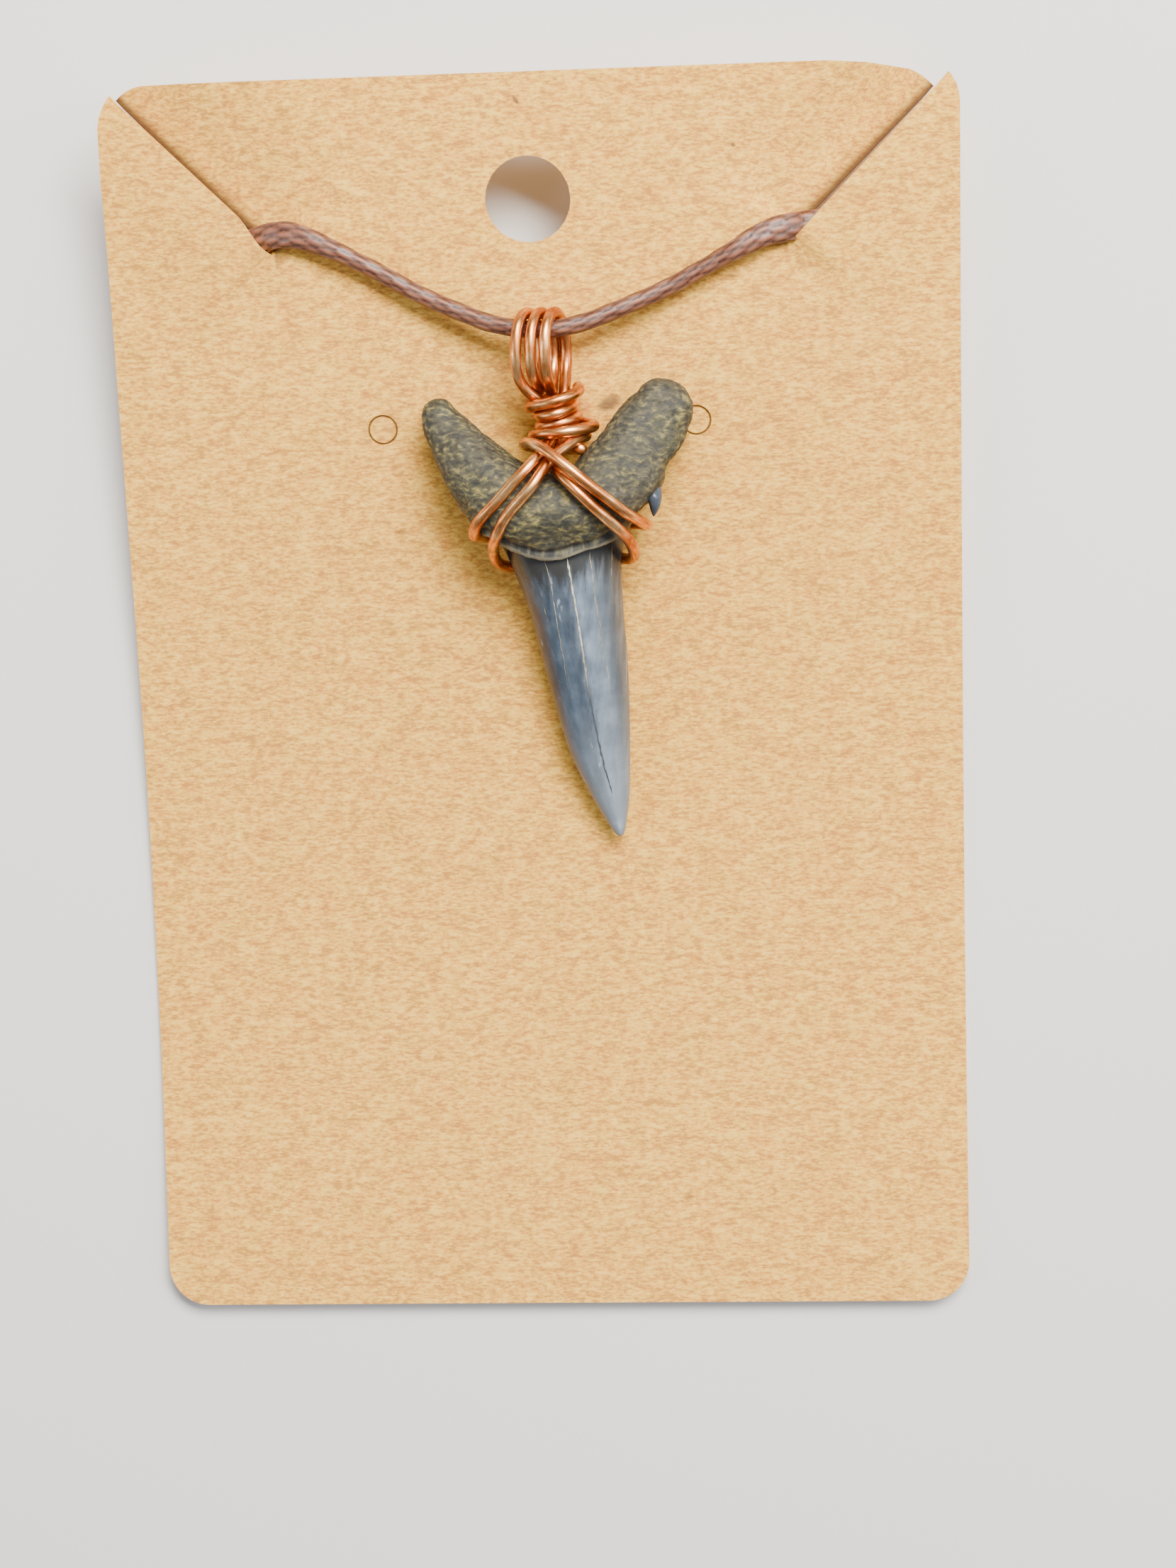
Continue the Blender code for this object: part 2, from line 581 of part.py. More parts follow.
CORD_HIDDEN_LEFT = [
    on_card(-20.8, 78.6, -0.62), on_table(-22.2, 78.1, 4.3), on_table(-23.3, 77.35, 3.85),
    on_table(-24.0, 76.5, 3.5), on_table(-24.15, 75.9, 3.3),
]

# The cord's end goes round the coil on the table, and then on towards its cap
COIL_MIDDLE = Vector(on_table(*COIL_CENTRE, 0.0))
COIL_OUTER_TURN = COIL_INNER_TURN + (COIL_LOWER_TURNS - 1) * CORD_DIAMETER
TAIL_RADIUS = COIL_OUTER_TURN + CORD_DIAMETER + JOIN_GAP
TAIL_ARC_FROM, TAIL_ARC_TO = 140, 284
TAIL_Z = 0.67
TAIL_STEP = 2.5
CORD_TAIL = [
    (x, y, TAIL_Z) for x, y in arc(COIL_MIDDLE, TAIL_RADIUS, TAIL_ARC_FROM, TAIL_ARC_TO, 13)
] + [on_table(-8.5, 64.9, 0.8), on_table(-5.7, 65.75, 0.9), on_table(-3.0, 66.6, 1.1)]
CORD_THINS_FROM, CORD_THINS_TO = 3.0, 0.6


def cord_radii(points):
    """Full thickness, thinning to its pinched one where the cord goes through a slit."""
    out = []
    for p in points:
        nearest = min((Vector(p) - Vector(pinched)).length for pinched in (CORD_SHOWN[0], CORD_SHOWN[-1]))
        full = smoothstep((nearest - CORD_THINS_TO) / (CORD_THINS_FROM - CORD_THINS_TO))
        out.append(CORD_PINCHED + (CORD_DIAMETER / 2 - CORD_PINCHED) * full)
    return out


waxed = material("waxed braided cord", (0.2, 0.1, 0.07), 0.45)
front_line = evenly(through(CORD_HIDDEN_RIGHT + CORD_SHOWN + CORD_HIDDEN_LEFT, 8), CORD_DIAMETER)
tube("cord_front", front_line, CORD_DIAMETER / 2, waxed, radii=cord_radii(front_line))
tube("cord_tail", evenly(through(CORD_TAIL, 8), TAIL_STEP), CORD_DIAMETER / 2, waxed)


def turned(name, profile, steps, finish):
    """A solid of revolution about Z, from a closed outline of radius and height."""
    work = bmesh.new()
    rings = []
    for k in range(steps):
        angle = 2 * math.pi * k / steps
        rings.append([work.verts.new((r * math.cos(angle), r * math.sin(angle), h)) for r, h in profile])
    for k in range(steps):
        here, there = rings[k - 1], rings[k]
        for j in range(len(profile)):
            work.faces.new((here[j - 1], here[j], there[j], there[j - 1]))
    return add_object(name, mesh_from(name, work), finish)


coil_inner = COIL_INNER_TURN - CORD_DIAMETER / 2
coil_outer = coil_inner + COIL_LOWER_TURNS * CORD_DIAMETER
upper_outer = coil_inner + COIL_UPPER_TURNS * CORD_DIAMETER
COIL_EDGE, COIL_STEP_EDGE = 0.6, 0.2
COIL_SIDES = 28
coil_profile = [
    (coil_inner, COIL_EDGE), (coil_inner + COIL_EDGE, 0.0),
    (coil_outer - COIL_EDGE, 0.0), (coil_outer, COIL_EDGE),
    (coil_outer - COIL_STEP_EDGE, CORD_DIAMETER - COIL_STEP_EDGE),
    (upper_outer, CORD_DIAMETER + COIL_STEP_EDGE), (upper_outer - COIL_EDGE, 2 * CORD_DIAMETER),
    (coil_inner + COIL_EDGE, 2 * CORD_DIAMETER), (coil_inner, 2 * CORD_DIAMETER - COIL_EDGE),
]
coil = turned("cord_coil", coil_profile, COIL_SIDES, waxed)
coil.location = COIL_MIDDLE * MM

# The caps, the ring and the clasp, along a line under the card from the tail to the right lead
CAP_RADIUS, CAP_LENGTH = 1.1, 4.6
EYE_RADIUS, EYE_WIRE = 0.8, 0.28
FITTINGS_Z = 1.15
nickel = material("nickel plated brass", (0.6, 0.58, 0.54), 0.3, 1.0)


def bar(name, start, length, radius, sides=16):
    """A plain round bar along +X from start."""
    rings = []
    for x in (0.0, length):
        angles = np.linspace(0.0, 2 * math.pi, sides, endpoint=False)
        rings.append([Vector((start + x, radius * math.cos(a), radius * math.sin(a))) for a in angles])
    return loft(name, rings)


def ring_mesh(name, centre, radius, wire, upright, steps=16, sides=6):
    """A closed wire ring, lying flat or standing on its edge in the line's own plane."""
    work = bmesh.new()
    rings = []
    for k in range(steps):
        a = 2 * math.pi * k / steps
        ring = []
        for j in range(sides):
            b = 2 * math.pi * j / sides
            out, up = radius + wire * math.cos(b), wire * math.sin(b)
            y, z = (up, out * math.sin(a)) if upright else (out * math.sin(a), up)
            ring.append(work.verts.new(Vector(centre) + Vector((out * math.cos(a), y, z))))
        rings.append(ring)
    for k in range(steps):
        for j in range(sides):
            work.faces.new((rings[k - 1][j - 1], rings[k - 1][j], rings[k][j], rings[k][j - 1]))
    return mesh_from(name, work)


def joined_to(body, name, mesh):
    piece = add_object(name, mesh, nickel)
    piece.parent = body
    piece.hide_render = True
    piece.display_type = "WIRE"
    join = body.modifiers.new(name, "BOOLEAN")
    join.operation = "UNION"
    join.object = piece


def cord_cap(name, place, heading):
    """A plain tube crimped on the cord, with a wire eye on its far end."""
    cap = add_object(name, bar(name, JOIN_GAP, CAP_LENGTH, CAP_RADIUS), nickel)
    eye_middle = JOIN_GAP + CAP_LENGTH + EYE_RADIUS - 0.15
    joined_to(cap, name + "_eye", ring_mesh(name + "_eye", (eye_middle, 0, 0), EYE_RADIUS, EYE_WIRE, True))
    cap.location = Vector(place) * MM
    cap.rotation_euler = (0.0, 0.0, heading)
    return eye_middle


tail_end, lead_end = Vector(CORD_TAIL[-1]), Vector(CORD_HIDDEN_RIGHT[0])
tail_end.z = lead_end.z = FITTINGS_Z
line = (lead_end - tail_end).to_2d()
heading = math.atan2(line.y, line.x)
eye_at = cord_cap("cord_cap_left", tail_end, heading)
cord_cap("cord_cap_right", lead_end, heading + math.pi)

fittings = bpy.data.objects.new("fittings", None)
bpy.context.scene.collection.objects.link(fittings)
fittings.location = tail_end * MM
fittings.rotation_euler = (0.0, 0.0, heading)

RING_RADIUS, RING_WIRE = 1.35, 0.28
ring_middle = eye_at + RING_RADIUS
ring = ring_mesh("jump_ring", (ring_middle, 0, 0), RING_RADIUS, RING_WIRE, False)
add_object("jump_ring", ring, nickel, fittings)

CLASP_NECK = 0.45
CLASP_HALF_WIDTH = 1.75
CLASP_SLIM, CLASP_THICK = 0.42, 0.92
clasp_eye = ring_middle + RING_RADIUS
small_eye = ring_mesh("clasp", (clasp_eye, 0, 0), EYE_RADIUS, EYE_WIRE, True)
clasp = add_object("clasp", small_eye, nickel, fittings)
far_eye = line.length - eye_at
hook_start = clasp_eye + EYE_RADIUS + CLASP_NECK
hook_half = (far_eye - hook_start) / 2


def clasp_rings():
    """The clasp's body: a flat oval link, thick at its back and slim where it goes through the eye."""
    rings = []
    steps, sides = 22, 8
    for k in range(steps):
        a = 2 * math.pi * k / steps
        back = 0.5 - 0.5 * math.cos(a)
        wire = CLASP_SLIM + (CLASP_THICK - CLASP_SLIM) * back
        middle = Vector((hook_start + hook_half * (1 + math.cos(a)), CLASP_HALF_WIDTH * math.sin(a), 0.0))
        outward = Vector((math.cos(a) / hook_half, math.sin(a) / CLASP_HALF_WIDTH, 0.0)).normalized()
        ring = []
        for b in np.linspace(0.0, 2 * math.pi, sides, endpoint=False):
            ring.append(middle + outward * 0.8 * wire * math.cos(b) + Vector((0, 0, wire * math.sin(b))))
        rings.append(ring)
    return rings


work = bmesh.new()
laid = [[work.verts.new(p) for p in ring] for ring in clasp_rings()]
for k in range(len(laid)):
    for j in range(len(laid[0])):
        work.faces.new((laid[k - 1][j - 1], laid[k - 1][j], laid[k][j], laid[k][j - 1]))
joined_to(clasp, "clasp_body", mesh_from("clasp_body", work))
bpy.data.objects["clasp_body"].parent = fittings
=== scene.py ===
"""A fossil sand tiger shark tooth, wired with copper and hung on a waxed cord through its kraft card.

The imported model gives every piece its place. This script gives each one its fine shape and finish.
Lengths are in millimetres until they become vertices, which are in metres.
"""

import math
from functools import partial

import bmesh
import bpy
import numpy as np
from mathutils import Matrix, Vector, noise
from mathutils.bvhtree import BVHTree
from mathutils.geometry import delaunay_2d_cdt


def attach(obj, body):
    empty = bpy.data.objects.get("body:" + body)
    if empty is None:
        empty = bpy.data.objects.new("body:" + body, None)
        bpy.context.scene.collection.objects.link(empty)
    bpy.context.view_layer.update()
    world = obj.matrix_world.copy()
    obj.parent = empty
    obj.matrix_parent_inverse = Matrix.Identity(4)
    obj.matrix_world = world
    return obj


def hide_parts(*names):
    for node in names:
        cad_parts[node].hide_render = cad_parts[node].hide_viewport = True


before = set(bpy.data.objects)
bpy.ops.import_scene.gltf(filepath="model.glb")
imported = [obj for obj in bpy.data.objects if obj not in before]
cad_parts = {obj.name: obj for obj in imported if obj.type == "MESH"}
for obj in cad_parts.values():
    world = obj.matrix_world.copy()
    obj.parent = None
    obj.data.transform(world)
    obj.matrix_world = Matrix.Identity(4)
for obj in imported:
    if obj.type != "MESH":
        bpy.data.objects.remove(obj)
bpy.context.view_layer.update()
MM = 0.001

# Camera
# Held by hand over the card, a little to the right of its middle. Its place, direction and focal
# length follow from the card's corners, hole and slits in the photograph.
CAMERA_PLACE = Vector((18.8, 23.55, 216.27))
CAMERA_LOOKS = Vector((-0.0739, -0.1343, -0.9882))
CAMERA_UP = Vector((0.0186, 0.9905, -0.136))
SENSOR_LONG_SIDE = 36.0
FOCAL_LENGTH_PX, PHOTO_LONG_SIDE_PX = 4200.0, 2212.0


def add_object(name, data):
    """A new object in the scene."""
    made = bpy.data.objects.new(name, data)
    bpy.context.scene.collection.objects.link(made)
    return made


lens = bpy.data.cameras.new("camera")
lens.sensor_fit = "AUTO"
lens.sensor_width = SENSOR_LONG_SIDE
lens.lens = SENSOR_LONG_SIDE * FOCAL_LENGTH_PX / PHOTO_LONG_SIDE_PX
lens.clip_start = 0.001
camera = add_object("camera", lens)
backward = -CAMERA_LOOKS.normalized()
rightward = CAMERA_UP.cross(backward).normalized()
camera.matrix_world = Matrix.Translation(CAMERA_PLACE * MM) @ Matrix(
    (rightward, backward.cross(rightward), backward)
).transposed().to_4x4()
bpy.context.scene.camera = camera

# Cord
# A 1.3 mm necklace cord of sixteen waxed polyester yarns, braided round. It leaves its right cap
# behind the card, shows from slit to slit with the wire's loops on it, and is coiled out of sight.
CORD_DIAMETER = 1.3
CARD_LENGTH, CARD_THICKNESS = 90.0, 0.45
# The card is curled: it slopes 3 degrees down at its bottom edge and 7 degrees up at its top
CURL_STATIONS = np.linspace(0.0, CARD_LENGTH, 1801)
CURL_SLOPES = np.interp(CURL_STATIONS, [12.0, 52.0], np.radians([-3.0, 7.0]))
STEP_SLOPES = (CURL_SLOPES[1:] + CURL_SLOPES[:-1]) / 2
CURL_Y = np.concatenate([[0.0], np.cumsum(np.cos(STEP_SLOPES) * np.diff(CURL_STATIONS))])
CURL_Z = np.concatenate([[0.0], np.cumsum(np.sin(STEP_SLOPES) * np.diff(CURL_STATIONS))])
CURL_Y = CURL_Y - CURL_Y[-1] / 2
CURL_Z = CURL_Z - CURL_Z.min() + CARD_THICKNESS


def on_card(x, s, height=0.0):
    """The point over the card's front face, s along the card from its bottom edge."""
    slope = np.interp(s, CURL_STATIONS, CURL_SLOPES)
    y = np.interp(s, CURL_STATIONS, CURL_Y) - height * math.sin(slope)
    z = np.interp(s, CURL_STATIONS, CURL_Z) + height * math.cos(slope)
    return (x, y, z)


def on_table(x, s, z):
    """The point under the card at s along it, z over the surface that everything lies on."""
    return (x, np.interp(s, CURL_STATIONS, CURL_Y), z)


def smoothstep(t):
    """From 0 to 1 as t goes, with a soft start and end."""
    t = np.clip(t, 0.0, 1.0)
    return t * t * (3.0 - 2.0 * t)


def arc(centre, radius, start, end, steps):
    """Points round part of a circle, from one angle to another in degrees."""
    angles = np.radians(np.linspace(start, end, steps))
    return [(centre[0] + radius * math.cos(a), centre[1] + radius * math.sin(a)) for a in angles]


def through(rows, steps):
    """Rows of numbers, with more between them on a smooth curve through them all."""
    rows = np.array(rows, float)
    padded = np.vstack([2 * rows[0] - rows[1], rows, 2 * rows[-1] - rows[-2]])
    out = []
    for k in range(1, len(padded) - 2):
        a, b, c, d = padded[k - 1 : k + 3]
        for t in np.arange(steps) / steps:
            bend = (2 * a - 5 * b + 4 * c - d) * t**2 + (3 * b - a - 3 * c + d) * t**3
            out.append(b + 0.5 * ((c - a) * t + bend))
    out.append(rows[-1])
    return np.array(out)


def lengths_along(points):
    """How far along the line each of its points lies."""
    return np.concatenate([[0.0], np.cumsum(np.linalg.norm(np.diff(points[:, :3], axis=0), axis=1))])


def evenly(points, spacing):
    """The same line with points at an even spacing along it."""
    points = np.array(points, float)
    along = lengths_along(points)
    wanted = np.linspace(0.0, along[-1], max(2, round(along[-1] / spacing) + 1))
    return np.stack([np.interp(wanted, along, column) for column in points.T], axis=1)


CORD_HIDDEN_RIGHT = [
    on_table(21.3, 73.45, 1.15), on_table(22.9, 73.7, 1.3), on_table(24.7, 74.6, 1.9),
    on_table(25.7, 76.5, 2.9), on_table(24.9, 78.4, 3.8), on_table(23.1, 79.15, 4.35),
    on_card(21.0, 79.1, -0.62),
]
CORD_SHOWN = [
    on_card(19.35, 78.9, -0.42), on_card(17.9, 78.8, 0.3), on_card(16.3, 78.4, 0.75),
    on_card(14.6, 77.55, 1.0), on_card(12.4, 76.4, 1.0), on_card(9.5, 74.95, 1.2), on_card(6.5, 73.8, 1.7),
    on_card(3.6, 72.85, 2.2), on_card(0.9, 72.5, 2.4), on_card(-2.2, 72.85, 2.1), on_card(-4.9, 73.8, 1.65),
    on_card(-7.9, 75.15, 1.2), on_card(-10.9, 76.85, 1.0), on_card(-13.8, 78.35, 1.0),
    on_card(-16.2, 79.3, 0.75), on_card(-17.8, 79.4, 0.15), on_card(-19.1, 79.05, -0.42),
]
CORD_HIDDEN_LEFT = [
    on_card(-20.8, 78.6, -0.62), on_table(-22.2, 78.1, 4.3), on_table(-23.3, 77.35, 3.85),
    on_table(-24.0, 76.5, 3.5), on_table(-24.15, 75.9, 3.3),
]
COIL_MIDDLE = Vector(on_table(-15.5, 75.6, 0.0))
COIL_INNER_TURN = 5.8
LOWER_TURNS, UPPER_TURNS = 4, 3
LOWER_Z, UPPER_Z = 0.67, 1.97
STEPS_PER_TURN = 36
TURN_SHIFTS_FROM, LAST_TURN_SHIFTS = 0.86, 0.7
LANDS_OVER, LEAVES_COIL_BEFORE = 0.12, 0.08
JOIN_GAP = 0.3
TAIL_RADIUS = COIL_INNER_TURN + LOWER_TURNS * CORD_DIAMETER + JOIN_GAP
TAIL_ARC_FROM, TAIL_ARC_TO = 150, 284


def coil_points():
    """Three turns inward on top, a step down, and four turns outward on the table."""
    out = []
    turns = UPPER_TURNS + LOWER_TURNS
    for k in range(1, round(STEPS_PER_TURN * (turns - LEAVES_COIL_BEFORE))):
        turned = k / STEPS_PER_TURN
        whole = int(turned)
        shift = float(smoothstep((turned - whole - TURN_SHIFTS_FROM) / (1 - TURN_SHIFTS_FROM)))
        if whole < UPPER_TURNS - 1:
            ring, z = UPPER_TURNS - 1 - whole - shift, UPPER_Z
        elif whole == UPPER_TURNS - 1:
            ring, z = 0, UPPER_Z + (LOWER_Z - UPPER_Z) * shift
        else:
            ring, z = whole - UPPER_TURNS + shift, LOWER_Z
        z += (CORD_HIDDEN_LEFT[-1][2] - UPPER_Z) * (1.0 - float(smoothstep(turned / LANDS_OVER)))
        radius = COIL_INNER_TURN + min(ring, LOWER_TURNS - 1 + LAST_TURN_SHIFTS * shift) * CORD_DIAMETER
        angle = math.pi + 2 * math.pi * turned
        out.append((COIL_MIDDLE.x + radius * math.cos(angle), COIL_MIDDLE.y + radius * math.sin(angle), z))
    return out


CORD_TAIL = [
    (x, y, LOWER_Z) for x, y in arc(COIL_MIDDLE, TAIL_RADIUS, TAIL_ARC_FROM + 35, TAIL_ARC_TO, 11)
] + [on_table(-8.5, 64.9, 0.8), on_table(-5.7, 65.75, 0.9), on_table(-3.0, 66.6, 1.1)]
CORD_SLIM, CORD_WIDE, CORD_PINCHED = 0.61, 0.95, 0.48
CORD_SPREADS_FROM, CORD_SPREADS_TO = 8.0, 0.8
YARNS_EACH_WAY = 8
YARN_SHOWS = 2.2
YARN_RELIEF, YARN_DIPS_AT_ENDS, YARN_MIDDLE = 0.1, 0.55, 0.6
YARN_LIES_FLAT, YARN_LOOSENS = 0.65, 0.75
RING_STEP_SHOWN, RING_STEP_COILED = 0.12, 0.25
CORD_SIDES = 40

cord_route = through(
    CORD_HIDDEN_RIGHT + CORD_SHOWN + CORD_HIDDEN_LEFT + coil_points() + CORD_TAIL, 10
)
cord_line = evenly(cord_route, RING_STEP_SHOWN)
cord_along = lengths_along(cord_line)


def headings(line):
    """The direction in which the line runs at each of its points."""
    out = np.gradient(line, axis=0)
    return out / np.linalg.norm(out, axis=1)[:, None]


def frames_along(line):
    """A side direction and an upward direction across the line at each of its points."""
    heading = headings(line)
    side = np.cross(heading, (0.0, 0.0, 1.0))
    side /= np.linalg.norm(side, axis=1)[:, None]
    return side, np.cross(side, heading)


def tube_faces(rings, sides):
    """Quads of a tube whose points are laid ring after ring, and the two ends' outlines."""
    here = np.arange(rings - 1)[:, None] * sides
    k = np.arange(sides)[None]
    on = (k + 1) % sides
    quads = np.stack([here + k, here + on, here + sides + on, here + sides + k], axis=-1).reshape(-1, 4)
    ends = [list(range(sides))[::-1], list(range((rings - 1) * sides, rings * sides))]
    return quads.tolist() + ends


def add_mesh(name, points, faces, smooth=True):
    """A new object from points in millimetres and the faces between them."""
    mesh = bpy.data.meshes.new(name)
    mesh.from_pydata((np.asarray(points) * MM).tolist(), [], faces)
    mesh.validate()
    if smooth:
        mesh.shade_smooth()
    return add_object(name, mesh)


def store(made, name, values):
    """A number for each of the mesh's points, for its material to read."""
    made.data.attributes.new(name, "FLOAT", "POINT").data.foreach_set("value", np.asarray(values, np.float32))


def woven_cord():
    """The cord's skin: rings along its line, raised where a yarn comes to the surface."""
    shown_from = np.argmin(np.linalg.norm(cord_line - Vector(CORD_SHOWN[0]), axis=1))
    shown_to = np.argmin(np.linalg.norm(cord_line - Vector(CORD_SHOWN[-1]), axis=1))
    coarse = max(1, round(RING_STEP_COILED / RING_STEP_SHOWN))
    count = len(cord_line)
    kept = [k for k in range(count) if shown_from <= k <= shown_to or k % coarse == 0 or k == count - 1]
    line, along = cord_line[kept], cord_along[kept]
    side, up = frames_along(line)

    from_slit = np.minimum(abs(along - cord_along[shown_from]), abs(along - cord_along[shown_to]))
    spread = 1.0 - smoothstep((from_slit - CORD_SPREADS_TO) / (CORD_SPREADS_FROM - CORD_SPREADS_TO))
    half_wide = CORD_SLIM + (CORD_WIDE - CORD_SLIM) * spread
    half_thick = CORD_SLIM + (CORD_PINCHED - CORD_SLIM) * spread

    angle = np.linspace(0.0, 2 * math.pi, CORD_SIDES, endpoint=False)[None]
    first = YARNS_EACH_WAY * angle / (2 * math.pi) + along[:, None] / YARN_SHOWS
    second = YARNS_EACH_WAY * angle / (2 * math.pi) - along[:, None] / YARN_SHOWS
    over = (np.floor(first) + np.floor(second)) % 2 < 1
    across = np.where(over, second % 1.0, first % 1.0)
    lengthwise = np.where(over, first % 1.0, second % 1.0)
    raised = np.sqrt(np.maximum(0.0, 1.0 - (2 * across - 1) ** 2))
    raised *= 1.0 - YARN_DIPS_AT_ENDS + YARN_DIPS_AT_ENDS * np.sin(math.pi * lengthwise)
    relief = YARN_RELIEF * (YARN_LIES_FLAT + YARN_LOOSENS * spread[:, None]) * (raised - YARN_MIDDLE)
    points = (
        line[:, None]
        + side[:, None] * ((half_wide[:, None] + relief) * np.cos(angle))[..., None]
        + up[:, None] * ((half_thick[:, None] + relief) * np.sin(angle))[..., None]
    )
    made = add_mesh("waxed_cord", points.reshape(-1, 3), tube_faces(len(line), CORD_SIDES))
    store(made, "yarn", raised.reshape(-1))
    tone = np.sin(12.9898 * np.floor(first) + 78.233 * np.floor(second)) * 43758.5453  # a number per yarn
    store(made, "yarn_tone", (tone % 1.0).reshape(-1))
    return made


cord = woven_cord()


def linear(colour):
    """A #rrggbb colour as the linear values that a shader takes."""
    channels = [int(colour[k : k + 2], 16) / 255 for k in (1, 3, 5)]
    return [c / 12.92 if c <= 0.04045 else ((c + 0.055) / 1.055) ** 2.4 for c in channels] + [1.0]


def set_inputs(node, **inputs):
    """Each input, by name or by _number, set to a value, a #rrggbb colour or another node's output."""
    for key, value in inputs.items():
        socket = node.inputs[int(key[1:])] if key[0] == "_" else node.inputs[key.replace("_", " ")]
        if isinstance(value, bpy.types.NodeSocket):
            node.id_data.links.new(value, socket)
        else:
            socket.default_value = linear(value) if isinstance(value, str) else value


def add_node(tree, kind, settings=None, out=0, stops=(), **inputs):
    """One node with its settings, its ramp's (place, #rrggbb) stops and its inputs. Gives one output."""
    node = tree.nodes.new("ShaderNode" + kind)
    for key, value in (settings or {}).items():
        setattr(node, key, value)
    elements = node.color_ramp.elements if stops else ()
    while len(elements) < len(stops):
        elements.new(1.0)
    for element, (place, colour) in zip(elements, stops):
        element.position, element.color = place, linear(colour)
    set_inputs(node, **inputs)
    return node.outputs[out]


def new_material(name):
    """An empty material, the function that adds its nodes, and its Principled shader."""
    made = bpy.data.materials.new(name)
    made.use_nodes = True
    return made, partial(add_node, made.node_tree), made.node_tree.nodes["Principled BSDF"]


# A Mix node of colours takes its share in input 0 and its colours in 6 and 7, and gives output 2
MIXED = {"data_type": "RGBA"}
MULTIPLIED = {"data_type": "RGBA", "blend_type": "MULTIPLY"}


def waxed_polyester():
    """Brown polyester yarns soaked in wax, with painted shade in the seams between them and a cool sheen on
    their backs.
    """
    # Wax lies in patches of about 0.7 mm
    made, add, shader = new_material("Waxed polyester braid")
    yarn = add("Attribute", {"attribute_name": "yarn"}, "Fac")
    tone = add("Attribute", {"attribute_name": "yarn_tone"}, "Fac")
    place = add("TexCoord", out="Object")
    wax = add("TexNoise", Vector=place, Scale=1400.0, Detail=3.0)
    # The yarn ramp paints shade: near black in the seams between yarns, brown on their raised backs
    brown = add("ValToRGB", stops=[(0.12, "#0c0503"), (0.42, "#3c1f14"), (0.95, "#875039")], Fac=yarn)
    cloudy = add("ValToRGB", stops=[(0.38, "#5a3424"), (0.6, "#93705c")], Fac=wax)
    colour = add("Mix", MIXED, 2, _0=0.2, _6=brown, _7=cloudy)
    shade = add("MapRange", _0=tone, _3=0.75, _4=1.2)
    grey = add("CombineColor", _0=shade, _1=shade, _2=shade)
    colour = add("Mix", MULTIPLIED, 2, _0=1.0, _6=colour, _7=grey)
    rough = add("MapRange", _0=wax, _3=0.38, _4=0.56)
    set_inputs(shader, Base_Color=colour, Roughness=rough, IOR=1.5, Coat_Weight=0.1, Coat_Roughness=0.3)
    return made


cord.data.materials.append(waxed_polyester())
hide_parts("cord_front", "cord_coil", "cord_tail")
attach(cord, "root")
fittings = [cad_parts[name] for name in ("cord_cap_left", "cord_cap_right", "jump_ring", "clasp")]

# Caps, ring and clasp
# Stamped and cast brass fittings with a nickel plate. Each cap is crimped on an end of the cord, and
# the lobster clasp joins them behind the card.


def nickel_plate():
    """Nickel over brass: a warm grey mirror, clouded a little by handling."""
    # Finger marks are about 1.4 mm across
    made, add, shader = new_material("Nickel plated brass")
    place = add("TexCoord", out="Object")
    cloud = add("TexNoise", Vector=place, Scale=700.0, Detail=4.0)
    colour = add("Mix", MIXED, 2, _0=cloud, _6="#b9b4aa", _7="#d3cec4")
    rough = add("MapRange", _0=cloud, _3=0.16, _4=0.34)
    set_inputs(shader, Base_Color=colour, Roughness=rough, Metallic=1.0)
    return made


nickel = nickel_plate()
for fitting in fittings:
    fitting.data.materials.clear()
    fitting.data.materials.append(nickel)

# Card
# Recycled kraft board, 0.45 mm thick, die-cut with a hang hole, two slanted slits and two small
# score rings. The cord pulls the board behind each slit back and leaves the corner standing up.
CARD_WIDTH, CORNER_RADIUS = 60.0, 3.0
HANG_HOLE = (0.0, 81.3)
HANG_HOLE_RADIUS = 3.0
SLIT_END = (18.2, 77.95)
SIN_45 = math.sqrt(0.5)
SLIT_KERF, SLIT_LENGTH = 0.16, 15.6
SLIT_OPENS_OVER, SLIT_SHAPES_OVER = 0.8, 9.0
FLAP_TIP = (29.27, 88.95)
FLAP_LIFT = 0.6
LEFT_FLAP_COVERS, RIGHT_FLAP_COVERS = 0.5, 0.05
FLAP_COVERS_OVER = 3.0
TONGUE_DROP = 1.0
# How far the corner above each slit drops, and how far it moves back along the slit and off it
LEFT_TONGUE_CURL = (1.0, 0.2, 0.0)
RIGHT_TONGUE_CURL = (4.0, 1.35, -0.35)
TONGUE_CURLS_OVER = 7.0
SCORED_CIRCLES = [(-11.05, 65.44), (11.33, 65.53)]
SCORED_RADIUS, SCORE_HALF_WIDTH, SCORE_DEPTH = 1.0, 0.11, 0.14
# Painted shade on the board above each slit: a dark line at the cut and a softer shade beside it, set by
# distance from the cut
SLIT_SHADE_BESIDE_CUT, SLIT_SHADE_SHARE = (0.01, 0.05, 0.16, 0.4, 0.8, 1.5), (0.0, 1.0, 1.0, 0.85, 0.25, 0.0)
CARD_POINT_SPACING = 1.5
FINE_ALONG_SLIT = 0.5
FINE_BESIDE_SLIT = (0.35, 0.8, 1.4, 2.2, 3.1)
CLEAR_OF_RIM, CLEAR_OF_SLIT, CLEAR_OF_SLIT_END = 0.4, 3.6, 0.8
BARE_CORNER_X, BARE_CORNER_BELOW, BARE_CORNER_ABOVE = 27.0, 3.0, 85.0
BARE_TONGUE_X, BARE_TONGUE_ABOVE = 24.0, 88.0


